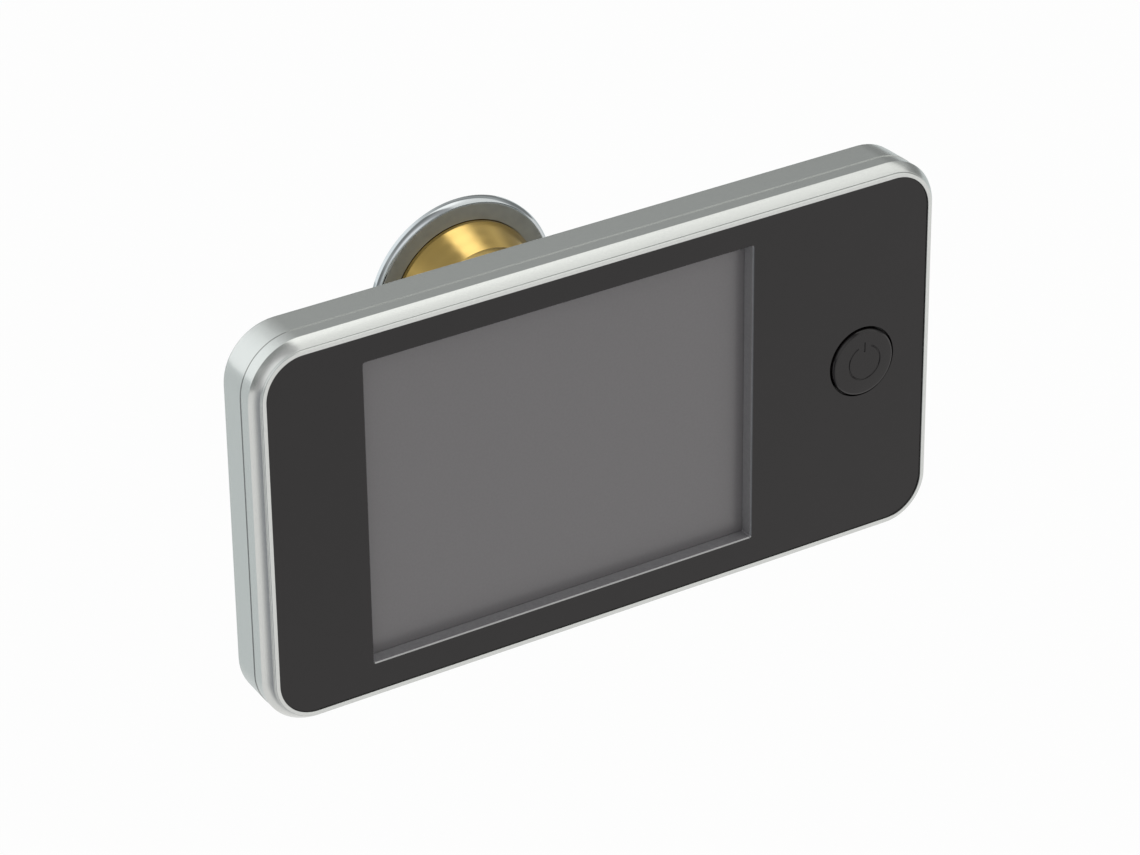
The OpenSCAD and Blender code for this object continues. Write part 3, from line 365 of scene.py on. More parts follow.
# Polyimide flat cable: clear amber film over copper
polyimide = speckled("polyimide_flex", "#A5601F", "#C47A2C", 2.0, (0.25, 0.35), IOR=1.7)
# Glass-epoxy board under green solder mask, with the glass weave just visible
solder_mask = speckled("solder_mask_on_FR4", "#0F4A22", "#155A2C", 0.7, (0.3, 0.42), 0.1, IOR=1.55)
# Moulded epoxy chip package: dark grey, fine spark-eroded grain
epoxy = speckled("moulded_epoxy_package", "#1E1E1F", "#272728", 0.3, (0.5, 0.65), 0.2, IOR=1.55)
# Zinc-plated steel: bright blue-grey with faint spangle
zinc = speckled(
    "zinc_plated_steel", "#A9AEB1", "#C6CACC", 1.2, (0.26, 0.4), 0.05, Metallic=1.0,
)
# Shrink sleeve on an alkaline cell: plain printed film with a soft gloss
sleeve = speckled("shrink_sleeve_film", "#1C3F6E", "#24497A", 3.0, (0.22, 0.3), IOR=1.5)
# Glass-filled nylon, matte black with a fine spark-eroded grain
black_nylon = speckled("matte_black_nylon", "#151516", "#1E1E1F", 0.25, (0.5, 0.65), 0.25, IOR=1.53)
# Soft vinyl jacket: black, slightly waxy
vinyl = speckled("soft_vinyl_jacket", "#141414", "#1C1C1C", 0.8, (0.4, 0.55), 0.1, IOR=1.52)
# Bright chrome on turned brass: near mirror with the faintest polishing haze
chrome = speckled("bright_chrome_plate", "#BFC4C7", "#C9CDD0", 4.0, (0.07, 0.11), Metallic=1.0)
# Flat back of the flange: an even matt grey, a painted reflection that stands in for the grey case
# back which the chrome there mirrors
painted_reflection_grey = speckled(
    "matt_plate_on_casting", "#8E918F", "#969996", 1.5, (0.36, 0.44), Metallic=0.25, IOR=1.5,
)
# Optical crown glass with an antireflection coat that reflects a trace of violet
crown = speckled(
    "coated_crown_glass", "#E8ECF4", "#F2F4FA", 8.0, (0.0, 0.02), IOR=1.52,
    **{"Transmission Weight": 1.0},
)


# Radians that a wave pattern turns for each unit of its scale
WAVE_RATE = 20
# Tool lines, drawn further apart than real ones so that they show, and patches of tarnish
TOOL_LINE, TOOL_DEPTH, TARNISH = 2.2, 0.01, 9.0


def turned_brass():
    """Turned brass: warm gold with faint tool lines round the axis."""
    material, tree, place = new_material("turned_brass")
    lines = add(tree, "TexWave", {
        "Vector": place, "Scale": 2 * math.pi * per(TOOL_LINE) / WAVE_RATE,
        "Distortion": 0.6, "Detail": 2.0, "Detail Scale": 3.0,
    }, bands_direction="Y").outputs["Fac"]
    tarnish = add(tree, "TexNoise", {"Vector": place, "Scale": per(TARNISH)}).outputs["Fac"]
    tone = add(tree, "ValToRGB", {"Fac": tarnish}, noise_stops("#E2BE6E", "#EAC87C"))
    gloss = add(tree, "MapRange", {"Value": lines, "To Min": 0.17, "To Max": 0.22})
    relief = add(tree, "Bump", {"Height": lines, "Strength": 0.02, "Distance": TOOL_DEPTH * MM})
    principled = add(tree, "BsdfPrincipled", {
        "Base Color": tone.outputs["Color"], "Metallic": 1.0,
        "Roughness": gloss.outputs["Result"], "Normal": relief.outputs["Normal"],
    })
    add(tree, "OutputMaterial", {"Surface": principled.outputs["BSDF"]})
    return material


brass = turned_brass()

# Camera

camera = bpy.data.objects.new("camera", bpy.data.cameras.new("camera"))
scene.collection.objects.link(camera)
camera.data.lens = CAMERA_LENS
camera.data.sensor_width = SENSOR_W
camera.matrix_world = (
    Matrix.Translation(CAMERA_PLACE * MM)
    @ (CAMERA_AIM - CAMERA_PLACE).to_track_quat("-Z", "Y").to_matrix().to_4x4()
    @ Matrix.Rotation(math.radians(CAMERA_ROLL), 4, "Z")
)
scene.camera = camera

# Floor and light

scene.view_settings.view_transform = "Standard"

WHITE = (1.0, 1.0, 1.0, 1.0)
# Places of a Mix node's colour sockets, which share their names with its other sockets
MIX_A, MIX_B, MIX_RESULT = 6, 7, 2
# How nearly the floor is pure white to the camera, and its cloudiness, drawn large to show
SEEN_WHITE, PAPER_CLOUD = 0.95, 40.0
# Dim sector of the floor towards the camera, and its mirrored tone from outside to inside it
DIM_WAY = Vector((-0.68, -0.73, 0.0)).normalized()
DIMMING = (0.80, (1.0, 0.99, 0.975, 1.0)), (0.985, (0.30, 0.31, 0.33, 1.0))
# Mirrored tone behind the object, and where along Y it begins and is full
FAR_TONE, FAR_START, FAR_FULL = (0.70, 0.745, 0.745, 1.0), 60.0, 210.0
FLOOR_Z, FLOOR_HALF = -190.0, 6000.0


def pale_floor():
    """White paper, also as metal and glass mirror it, but for a dim sector towards the camera."""
    material, tree, place = new_material("white_paper")
    cloud = add(tree, "TexNoise", {"Vector": place, "Scale": per(PAPER_CLOUD)}).outputs["Fac"]
    tone = add(tree, "ValToRGB", {"Fac": cloud}, noise_stops("#F2F2F1", "#F4F4F3"))
    paper = add(tree, "BsdfDiffuse", {"Color": tone.outputs["Color"]})
    flat = add(tree, "VectorMath", {0: place, 1: (1.0, 1.0, 0.0)}, operation="MULTIPLY")
    outward = add(tree, "VectorMath", {0: flat.outputs["Vector"]}, operation="NORMALIZE")
    towards = add(tree, "VectorMath", {
        0: outward.outputs["Vector"], 1: DIM_WAY,
    }, operation="DOT_PRODUCT")
    near = add(tree, "ValToRGB", {"Fac": towards.outputs["Value"]}, DIMMING)
    near.color_ramp.interpolation = "EASE"
    far = add(tree, "MapRange", {
        "Value": add(tree, "SeparateXYZ", {"Vector": place}).outputs["Y"],
        "From Min": FAR_START * MM, "From Max": FAR_FULL * MM,
    }, interpolation_type="SMOOTHSTEP")
    mirrored = add(tree, "Mix", {
        0: far.outputs["Result"], MIX_A: near.outputs["Color"], MIX_B: FAR_TONE,
    }, data_type="RGBA")
    path = add(tree, "LightPath")
    shine = add(tree, "Math", {
        0: path.outputs["Is Glossy Ray"], 1: path.outputs["Is Transmission Ray"],
    }, operation="MAXIMUM")
    seen = add(tree, "Math", {
        0: path.outputs["Is Camera Ray"], 1: SEEN_WHITE, 2: shine.outputs["Value"],
    }, operation="MULTIPLY_ADD")
    shown = add(tree, "Mix", {
        0: path.outputs["Is Camera Ray"], MIX_A: mirrored.outputs[MIX_RESULT], MIX_B: WHITE,
    }, data_type="RGBA")
    white = add(tree, "Emission", {"Color": shown.outputs[MIX_RESULT], "Strength": 1.0})
    mixed = add(tree, "MixShader", {
        0: seen.outputs["Value"], 1: paper.outputs["BSDF"], 2: white.outputs["Emission"],
    })
    add(tree, "OutputMaterial", {"Surface": mixed.outputs["Shader"]})
    return material


floor_corners = [Vector((x * FLOOR_HALF, y * FLOOR_HALF, FLOOR_Z)) for x, y in QUADRANTS]
floor = solid("floor", (floor_corners, [(0, 1, 2, 3)]))
floor.data.materials.append(pale_floor())


def level(brightness, red=1.0, green=1.0, blue=1.0):
    """Tinted light of some brightness."""
    return (brightness * red, brightness * green, brightness * blue, 1.0)


# Tones by the sine of the height above the floor: of the room, and of the large light
ROOM_TONES = [(height, level(tone, 0.97, 1.0, 0.98)) for height, tone in (
    (0.0, 0.30), (0.28, 0.27), (0.52, 0.54), (0.64, 0.40), (0.80, 0.32), (1.0, 0.32),
)]
LIGHT_TONES = [(height, level(tone, 1.0, 1.0, 0.97)) for height, tone in (
    (0.0, 1.35), (0.12, 1.35), (0.35, 1.10), (0.84, 1.10), (0.92, 1.45),
)]
# What lies before the room, each layer over those listed above it: its tone, none for the large
# light, and its limits, each a direction and how far along it the tone begins and is full
ROOM_LAYERS = (
    # front half
    (level(0.5), (((0.0, -1.0, 0.0), 0.05, 0.5),)),
    # pale wall behind left
    (level(1.3, 0.97, 1.0, 1.0), (
        ((-0.622, 0.742, 0.251), 0.45, 1.0), ((0.0, 1.0, 0.0), 0.3, 0.6),
    )),
    # wall behind the camera
    (level(1.15), (((-0.40, -0.85, 0.34), 0.78, 0.96),)),
    # large light front right and above, between two planes through the object
    (None, (((0.942, 0.331, -0.038), -0.02, 0.08), ((-0.4235, -0.6777, 0.6014), 0.0, 0.17))),
)


def studio():
    """Room with a large light and two pale walls, dim elsewhere, and white to the camera."""
    world = bpy.data.worlds.new("studio")
    world.use_nodes = True
    tree = world.node_tree
    tree.nodes.clear()
    way = add(tree, "TexCoord").outputs["Generated"]
    height = add(tree, "SeparateXYZ", {"Vector": way}).outputs["Z"]
    room = add(tree, "ValToRGB", {"Fac": height}, ROOM_TONES).outputs["Color"]
    light = add(tree, "ValToRGB", {"Fac": height}, LIGHT_TONES).outputs["Color"]
    for tone, limits in ROOM_LAYERS:
        amount = 1.0
        for direction, start, full in limits:
            along = add(tree, "VectorMath", {0: way, 1: direction}, operation="DOT_PRODUCT")
            reach = add(tree, "MapRange", {
                "Value": along.outputs["Value"], "From Min": start, "From Max": full,
            }, interpolation_type="SMOOTHSTEP")
            both = add(tree, "Math", {0: reach.outputs["Result"], 1: amount}, operation="MULTIPLY")
            amount = both.outputs["Value"]
        layer = add(tree, "Mix", {
            0: amount, MIX_A: room, MIX_B: tone or light,
        }, data_type="RGBA")
        room = layer.outputs[MIX_RESULT]
    unseen = add(tree, "Background", {"Color": room, "Strength": 1.0})
    seen = add(tree, "Background", {"Color": WHITE, "Strength": 1.0})
    mixed = add(tree, "MixShader", {
        0: add(tree, "LightPath").outputs["Is Camera Ray"], 1: unseen.outputs["Background"],
        2: seen.outputs["Background"],
    })
    add(tree, "OutputWorld", {"Surface": mixed.outputs["Shader"]})
    return world


scene.world = studio()


def softbox(name, place, aim, w, h, radiance, turn):
    """Rectangular lamp of an even radiance, turned about its own axis by degrees."""
    lamp = bpy.data.lights.new(name, "AREA")
    lamp.shape = "RECTANGLE"
    lamp.size, lamp.size_y = w * MM, h * MM
    lamp.energy = radiance * math.pi * w * h * MM * MM
    holder = bpy.data.objects.new(name, lamp)
    scene.collection.objects.link(holder)
    holder.matrix_world = (
        Matrix.Translation(Vector(place) * MM)
        @ (Vector(aim) - Vector(place)).to_track_quat("-Z", "Y").to_matrix().to_4x4()
        @ Matrix.Rotation(math.radians(turn), 4, "Z")
    )


softbox("overhead", (450, -150, 1000), (450, -150, 0), w=540, h=1250, radiance=0.1, turn=30)

# Front frame: ledge, lip, groove, rounded shoulder, crisp edge, side wall and tongue

LIP_W, LIP_RISE, LIP_R, LIP_INNER_R = 0.88, 0.25, 0.17, 0.06
GROOVE_DEPTH, GROOVE_R = 0.25, 0.1
FRAME_OUT, EDGE_DEPTH, FRAME_DEPTH = 2.2, 1.8, 4.24
# Corner radius of the whole case, and how fast the radius grows outward from the face's to reach it
CASE_R = 9.2
CORNER_SPREAD = (CASE_R - FACE_R) / FRAME_OUT
FRAME_DRAFT, SEAM_R = 0.1, 0.04
SHOULDER_BULGE, EDGE_R, EDGE_TURN = 0.1, 0.2, -28.0
LEDGE_IN, LEDGE_T = -2.2, 1.1
TONGUE_IN, TONGUE_OUT, TONGUE_LEN = 0.5, 1.2, 1.4
# Gap between pieces that sit one in the other
FIT = 0.1


def frame_profile():
    """Section of the moulding as (outward, depth), from the ledge over the tongue to the lip."""
    fillet = arc(FRAME_OUT - EDGE_R, EDGE_DEPTH, EDGE_R, 0, EDGE_TURN, steps=5)
    groove = (LIP_W + GROOVE_R, GROOVE_DEPTH)
    shoulder = fillet + bulged(fillet[-1], groove, SHOULDER_BULGE, steps=16)[1:]
    return (
        [(LEDGE_IN, FACE_T + LEDGE_T), (TONGUE_IN, FACE_T + LEDGE_T)]
        + [(TONGUE_IN, FRAME_DEPTH + TONGUE_LEN), (TONGUE_OUT, FRAME_DEPTH + TONGUE_LEN)]
        + [(TONGUE_OUT, FRAME_DEPTH)]
        + arc(FRAME_OUT - FRAME_DRAFT - SEAM_R, FRAME_DEPTH - SEAM_R, SEAM_R, 90, 0, steps=3)
        + shoulder
        + arc(LIP_W + GROOVE_R, GROOVE_DEPTH - GROOVE_R, GROOVE_R, 90, 180)[1:]
        + arc(LIP_W - LIP_R, LIP_R - LIP_RISE, LIP_R, 0, -90, steps=12)
        + arc(FIT + LIP_INNER_R, LIP_INNER_R - LIP_RISE, LIP_INNER_R, -90, -180)
        + [(FIT, FACE_T), (LEDGE_IN, FACE_T)]
    )


# Screw bosses in the four corners
BOSS_R, BOSS_BORE_R, BOSS_FRONT, BOSS_BACK = 1.9, 0.85, 2.55, 8.4
SCREW_INSET = 3.2
SCREW_PLACES = [
    (sx * (FACE_W / 2 - SCREW_INSET), FACE_Z + sz * (FACE_H / 2 - SCREW_INSET))
    for sx, sz in QUADRANTS
]
boss = [(BOSS_BORE_R, FACE_Y + BOSS_FRONT), (BOSS_R, FACE_Y + BOSS_FRONT)]
boss += [(BOSS_R, FACE_Y + BOSS_BACK), (BOSS_BORE_R, FACE_Y + BOSS_BACK)]
moulding = solid("frame_moulding", joined(
    swept(frame_profile(), FACE_W, FACE_H, FACE_R, CORNER_SPREAD),
    *(turned(boss, x, z, sides=32, closed=True) for x, z in SCREW_PLACES),
))
fit(moulding, silver, "monitor", "front_frame", sharp=14)

# Face plate: a flat panel with rounded rims round its edge, its window and its button hole

RIM_R, RIM_STEPS = 0.08, 5
# Bevel of the window's edge, and where it runs out into the wall
BEVEL, BEVEL_OUT, BEVEL_RUN = 0.2, 0.03, 0.05
# The window's wall reaches past the panel's back, almost to the screen
WALL_REACH, WALL_T = 0.4, 0.2
# How far the panel's edge reaches into its gap to the frame
FACE_OUT = 0.06
WINDOW_STEPS, HOLE_SIDES = 8, 96


def flat_skin(outer, holes):
    """Points and faces that fill a flat loop of points, but for its holes."""
    bm = bmesh.new()
    for loop in (outer, *holes):
        verts = [bm.verts.new(p * MM) for p in loop]
        for a, b in zip(verts, verts[1:] + verts[:1]):
            bm.edges.new((a, b))
    bmesh.ops.triangle_fill(bm, edges=bm.edges, use_beauty=True)
    bm.verts.index_update()
    points = [v.co / MM for v in bm.verts]
    faces = [tuple(v.index for v in face.verts) for face in bm.faces]
    bm.free()
    return points, faces


def outline(w, h, r, x, z, out, depth, steps):
    """Rounded rectangle on the face, grown outward."""
    return [
        on_face(x + QUADRANTS[turn][0] * (w / 2 - r) + (r + out) * c,
                z + QUADRANTS[turn][1] * (h / 2 - r) + (r + out) * s, depth)
        for turn, c, s in directions(steps)
    ]


def circle(x, z, r, depth, sides):
    """Circle on the face."""
    angles = [2 * math.pi * i / sides for i in range(sides)]
    return [on_face(x + r * math.cos(a), z + r * math.sin(a), depth) for a in angles]


def face_panel():
    """Front and back skins joined by three rims, each a profile of (outward, depth)."""
    rim = arc(FACE_OUT - RIM_R, RIM_R, RIM_R, -90, 0, RIM_STEPS) + [(FACE_OUT, FACE_T)]
    wall = [(BEVEL, 0), (BEVEL_OUT, BEVEL - BEVEL_OUT), (0, BEVEL + BEVEL_RUN)]
    wall += [(0, FACE_T + WALL_REACH), (WALL_T, FACE_T + WALL_REACH), (WALL_T, FACE_T)]
    bore = arc(BUTTON_HOLE_R + RIM_R, RIM_R, RIM_R, -90, -180, RIM_STEPS)
    bore += [(BUTTON_HOLE_R, FACE_T)]
    edge = [outline(FACE_W, FACE_H, FACE_R, 0, 0, out, d, CORNER_STEPS) for out, d in rim]
    window = [
        outline(WINDOW_W, WINDOW_H, WINDOW_R, WINDOW_X, WINDOW_Z, out, d, WINDOW_STEPS)
        for out, d in wall
    ]
    hole = [circle(BUTTON_X, BUTTON_Z, r, d, HOLE_SIDES) for r, d in bore]
    rims = [skin(rings, True, False) for rings in (edge, window, hole)]
    return joined(*rims, *(flat_skin(edge[i], (window[i], hole[i])) for i in (0, -1)))


panel = solid("face_panel", face_panel())
# How far a face leans to the front, as its normal's share along Y, on a wall and on the bevel
WALL_LEAN, BEVEL_LEAN = 0.4, 0.9


def in_window(centre):
    """Within the window's outline."""
    across = abs(centre.x - WINDOW_X) < WINDOW_W / 2 + BEVEL
    along = abs(centre.z - FACE_Z - WINDOW_Z) < WINDOW_H / 2 + BEVEL
    return across and along


def on_wall(centre, normal):
    """Sawn walls of the window."""
    return in_window(centre) and abs(normal.y) < WALL_LEAN


def on_bevel(centre, normal):
    """Polished bevel of the window."""
    return in_window(centre) and WALL_LEAN <= abs(normal.y) < BEVEL_LEAN


fit(panel, black_abs, "monitor", "face_plate", sharp=25,
    also=((sawn_edge, on_wall), (bright_bevel, on_bevel)))

# Power button: rounded cap with an engraved power sign

BUTTON_RISE, BUTTON_EDGE = 0.5, 0.5
FLANGE_R, FLANGE_FRONT, FLANGE_BACK = 6.85, 2.05, 2.75
# The sign sits a little right of the button's middle
SIGN_X = BUTTON_X + 0.2
SIGN_R, SIGN_LINE, SIGN_GAP = 3.0, 0.13, 24.0
SIGN_BAR_LOW, SIGN_BAR_HIGH = 1.9, 3.6
SIGN_STEPS, SIGN_SIDES = 64, 10
DEPTH_WAY = Vector((0, 1, 0))

cap = solid("button_cap", turned(
    [(0.0, FACE_Y - BUTTON_RISE)]
    + [(r, FACE_Y - y) for r, y in
       arc(BUTTON_R - BUTTON_EDGE, BUTTON_RISE - BUTTON_EDGE, BUTTON_EDGE, 90, 0)]
    + [(BUTTON_R, FACE_Y + FLANGE_FRONT), (FLANGE_R, FACE_Y + FLANGE_FRONT)]
    + [(FLANGE_R, FACE_Y + FLANGE_BACK), (0.0, FACE_Y + FLANGE_BACK)],
    BUTTON_X, FACE_Z + BUTTON_Z,
))
for name, line in (
    ("sign_ring", arc(0, 0, SIGN_R, 90 + SIGN_GAP, 450 - SIGN_GAP, SIGN_STEPS)),
    ("sign_bar", [(0, SIGN_BAR_LOW), (0, SIGN_BAR_HIGH)]),
):
    path = [on_face(SIGN_X + x, BUTTON_Z + z, -BUTTON_RISE) for x, z in line]
    cut(cap, solid(name, bar(bar_rings(path, SIGN_LINE, SIGN_SIDES, DEPTH_WAY))))
fit(cap, black_abs, "button", "power_button", sharp=35)

# Rear cover and battery door: the solids, with their outer edges eased

EASE, PAD_EASE, GASKET_EASE = 0.15, 0.22, 0.1
EASE_STEPS = 3
# Angles in degrees: faces that differ less are one, and edges that turn more are eased
FLAT_ANGLE, EDGE_ANGLE = 0.3, 50.0


def eased(name, node, width, chosen):
    """Copy of a solid with the chosen sharp edges rounded off."""
    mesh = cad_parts[node].data.copy()
    mesh.name = name
    if "custom_normal" in mesh.attributes:
        mesh.attributes.remove(mesh.attributes["custom_normal"])
    bm = bmesh.new()
    bm.from_mesh(mesh)
    bmesh.ops.remove_doubles(bm, verts=bm.verts, dist=MERGE_COPY)
    bmesh.ops.dissolve_limit(
        bm, angle_limit=math.radians(FLAT_ANGLE), verts=bm.verts, edges=bm.edges,
    )
    edges = [
        e for e in bm.edges
        if len(e.link_faces) == 2 and e.calc_face_angle() > math.radians(EDGE_ANGLE)
        and all(chosen(v.co / MM) for v in e.verts)
    ]
    bmesh.ops.bevel(
        bm, geom=edges, offset=width * MM, segments=EASE_STEPS, profile=0.5, affect="EDGES",
        clamp_overlap=False,
    )
    for face in bm.faces:
        face.smooth = True
    bm.to_mesh(mesh)
    bm.free()
    piece = bpy.data.objects.new(name, mesh)
    scene.collection.objects.link(piece)
    return piece


# Plane of the hump's back, and how near to it a point has to be
HUMP_BACK_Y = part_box("rear_cover")[1].y / MM
NEAR = 0.02


def hump_edge(p):
    """On the hump's flat back."""
    return abs(p.y - HUMP_BACK_Y) < NEAR


shell = eased("cover_shell", "rear_cover", EASE, hump_edge)
fit(shell, silver, "monitor", "rear_cover")
door = eased("door_shell", "battery_door", EASE, hump_edge)
fit(door, silver, "cover", "battery_door")

# Barrel and rosette, turned about the barrel's axis

BARREL_R, BARREL_BORE_R, BARREL_SPIGOT_R = 13.4, 9.8, 11.5
BARREL_START, BARREL_SHOULDER, BARREL_END = 1.5, 23.4, 25.9
LENS_SEAT, SEAT_R = 19.4, 9.1
BARREL_CHAMFER = 0.5
TUBE_R, TAPER_START, RIM_START = 11.3, 16.3, 22.1
barrel = solid("barrel_tube", turned(
    [(BARREL_BORE_R, BARREL_START), (TUBE_R - BARREL_CHAMFER, BARREL_START)]
    + [(TUBE_R, BARREL_START + BARREL_CHAMFER), (TUBE_R, TAPER_START), (BARREL_R, RIM_START)]
    + [(BARREL_R, BARREL_SHOULDER)]
    + [(BARREL_SPIGOT_R, BARREL_SHOULDER), (BARREL_SPIGOT_R, BARREL_END)]
    + [(SEAT_R, BARREL_END), (SEAT_R, LENS_SEAT), (BARREL_BORE_R, LENS_SEAT)],
    closed=True,
))
fit(barrel, brass, "camera", "brass_barrel", sharp=15)

ROSETTE_R, ROSETTE_EDGE, ROSETTE_RIM = 17.1, 1.1, 1.6
ROSETTE_BACK, ROSETTE_FRONT, ROSETTE_FALL = 22.9, 26.9, 0.2
ROSETTE_FACE_R, ROSETTE_CHAMFER, ROSETTE_BULGE = 15.3, 0.6, 0.15
ROSETTE_HOLE = 9.4
rosette = solid("rosette_flange", turned(
    [(ROSETTE_HOLE, ROSETTE_FRONT - ROSETTE_FALL), (ROSETTE_HOLE, BARREL_END + FIT)]
    + [(BARREL_SPIGOT_R + FIT, BARREL_END + FIT), (BARREL_SPIGOT_R + FIT, BARREL_SHOULDER)]
    + [(BARREL_R + FIT, BARREL_SHOULDER), (BARREL_R + FIT, ROSETTE_BACK)]
    + arc(ROSETTE_R - ROSETTE_EDGE, ROSETTE_BACK + ROSETTE_EDGE, ROSETTE_EDGE, -90, 0, steps=12)
    + bulged((ROSETTE_R, ROSETTE_BACK + ROSETTE_RIM),
             (ROSETTE_FACE_R, ROSETTE_FRONT - ROSETTE_FALL - ROSETTE_CHAMFER), -ROSETTE_BULGE)
    + bulged((ROSETTE_FACE_R - ROSETTE_CHAMFER, ROSETTE_FRONT - ROSETTE_FALL),
             (ROSETTE_HOLE + ROSETTE_CHAMFER, ROSETTE_FRONT), -ROSETTE_FALL / 2),
    sides=160, closed=True,
))
# Share along Y of a face's normal past which the face is the flange's flat back
BACK_LEAN = -0.95


def on_rosette_back(centre, normal):
    """Flat back of the flange."""
    return normal.y < BACK_LEAN


# The flange's flat back wears the matt grey of the painted reflection; the rest is chrome
fit(rosette, chrome, "camera", "rosette", also=((painted_reflection_grey, on_rosette_back),))

# Door plate, pad and gasket: the solids, with eased edges

def anywhere(p):
    """On any edge."""
    return True


plate = eased("hook_plate", "door_plate", EASE, anywhere)
fit(plate, zinc, "mounting", "door_plate")
pad = eased("foam_pad", "plate_pad", PAD_EASE, anywhere)
fit(pad, pale_foam, "mounting", "plate_pad")
gasket = eased("foam_gasket", "screen_gasket", GASKET_EASE, anywhere)
fit(gasket, foam, "monitor", "screen_gasket")

# Clamp bolt: hollow, with a rolled thread and a cross slot for a coin

BOLT_R, BOLT_BORE_R, BOLT_CHAMFER, BOLT_EASE = 9.5, 7.0, 0.5, 0.2
BOLT_HEAD_R, BOLT_HEAD_FRONT, BOLT_HEAD_BACK = 14.5, -5.4, -2.4
BOLT_END = 18.0
THREAD_PITCH, THREAD_DEPTH, THREAD_START, THREAD_END = 2.0, 0.55, 0.4, 17.0
THREAD_STEP = THREAD_PITCH / 10
# How steep the thread's flanks are; above 1 leaves a flat crest
THREAD_FLANK = 1.6
SLOT_W, SLOT_LEN, SLOT_DEPTH, SLOT_OVERRUN = 2.4, 40.0, 1.6, 1.0
BOLT_SIDES = 96


def thread_r(y, turn):
    """Radius of the thread at a height and a turn, running out at both ends."""
    wave = abs(((y / THREAD_PITCH + turn) % 1) * 2 - 1)
    run = min((y - THREAD_START) / THREAD_PITCH, (THREAD_END - y) / THREAD_PITCH, 1)
    return BOLT_R - THREAD_DEPTH * max(run, 0) * (1 - min(THREAD_FLANK * wave, 1))


def bolt_shape():
    """Hollow bolt: rows of (radius, y) from its end to its head, with no radius on the thread."""
    rows = [(BOLT_BORE_R, BOLT_END), (BOLT_R - BOLT_CHAMFER, BOLT_END)]
    rows += [(BOLT_R, BOLT_END - BOLT_CHAMFER)]
    count = round((THREAD_END - THREAD_START) / THREAD_STEP)
    rows += [(None, THREAD_END - i * THREAD_STEP) for i in range(count + 1)]
    rows += [(BOLT_R, BOLT_HEAD_BACK), (BOLT_HEAD_R - BOLT_EASE, BOLT_HEAD_BACK)]
    rows += [(BOLT_HEAD_R, BOLT_HEAD_BACK - BOLT_EASE)]
    rows += [(BOLT_HEAD_R, BOLT_HEAD_FRONT + BOLT_CHAMFER)]
    rows += [(BOLT_HEAD_R - BOLT_CHAMFER, BOLT_HEAD_FRONT)]
    rows += [(BOLT_BORE_R + BOLT_CHAMFER, BOLT_HEAD_FRONT)]
    rows += [(BOLT_BORE_R, BOLT_HEAD_FRONT + BOLT_CHAMFER)]
    rings = []
    for i in range(BOLT_SIDES):
        a = 2 * math.pi * i / BOLT_SIDES
        radii = [(thread_r(y, i / BOLT_SIDES) if r is None else r, y) for r, y in rows]
        rings.append([Vector((r * math.cos(a), y, r * math.sin(a))) for r, y in radii])
    return skin(rings, True, True)


def cut_cross(piece, length, w, start, end):
    """Cuts a cross of two bars, centred on the Y axis, between two places along it."""
    for across, up in ((length, w), (w, length)):
        low = Vector((-across / 2, start, -up / 2))
        high = Vector((across / 2, end, up / 2))
        cut(piece, solid("cross", block(low, high)))


bolt = solid("slotted_bolt", bolt_shape())
cut_cross(bolt, SLOT_LEN, SLOT_W, BOLT_HEAD_FRONT - SLOT_OVERRUN, BOLT_HEAD_FRONT + SLOT_DEPTH)
fit(bolt, zinc, "bolt", "clamp_bolt", sharp=25)

# Camera cable: one and a half loose turns inside the hollow bolt, made in two halves

CABLE_R, CABLE_SIDES, CABLE_STEPS = 1.3, 20, 160
# Loops, and the share of the cable that is straight at each end
LOOP_R, LOOP_TURNS, CABLE_STRAIGHT = 4.0, 1.5, 0.1
CABLE_START, CABLE_END = (corner.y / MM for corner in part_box("camera_cable"))


def cable_point(t):
    """Place on the cable's middle line, from 0 at the plug to 1 at the sensor."""
    a = 2 * math.pi * LOOP_TURNS * t
    bow = min(max((t - CABLE_STRAIGHT) / (1 - 2 * CABLE_STRAIGHT), 0), 1)
    r = LOOP_R * math.sin(math.pi * bow) ** 2
    return Vector((r * math.cos(a), CABLE_START + t * (CABLE_END - CABLE_START), r * math.sin(a)))


UP_WAY = Vector((0, 0, 1))
CABLE_HALF = CABLE_STEPS // 2
CABLE_MIDDLE = cable_point(0.5).y
cable_path = [cable_point(i / CABLE_STEPS) for i in range(CABLE_STEPS + 1)]
cable_rings = bar_rings(cable_path, CABLE_R, CABLE_SIDES, UP_WAY)
plug_half, sensor_half = cable_rings[:CABLE_HALF + 1], cable_rings[CABLE_HALF:]
for name, rings, bodies, ends in (
    ("cable_at_plug", plug_half, ("monitor", "mounting"), (CABLE_START, CABLE_MIDDLE)),
    ("cable_at_sensor", sensor_half, ("mounting", "camera"), (CABLE_MIDDLE, CABLE_END)),
):
    length = solid(name, bar(rings), sharp=40)
    length.data.materials.append(vinyl)
    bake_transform(length)
    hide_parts("camera_cable")

# Cells: steel cans in a shrink sleeve, the left one tip up and the right one tip down

CELL_R, CELL_EDGE = 5.25, 0.6
CELL_TIP, CELL_TIP_R, CELL_TIP_EDGE = 0.8, 1.9, 0.3
cell_low, cell_high = (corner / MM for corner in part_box("batteries"))
CELL_Y = (cell_low.y + cell_high.y) / 2
CELL_XS = (cell_low.x + CELL_R, cell_high.x - CELL_R)
CELL_FOOT, CELL_TOP = -27.5, cell_high.z
# Crimp below the shoulder, and how much of the can the sleeve leaves bare at each end
CRIMP_DEPTH, CRIMP_LOW, CRIMP_HIGH = 0.25, 2.6, 1.6
SLEEVE_ENDS = 1.0


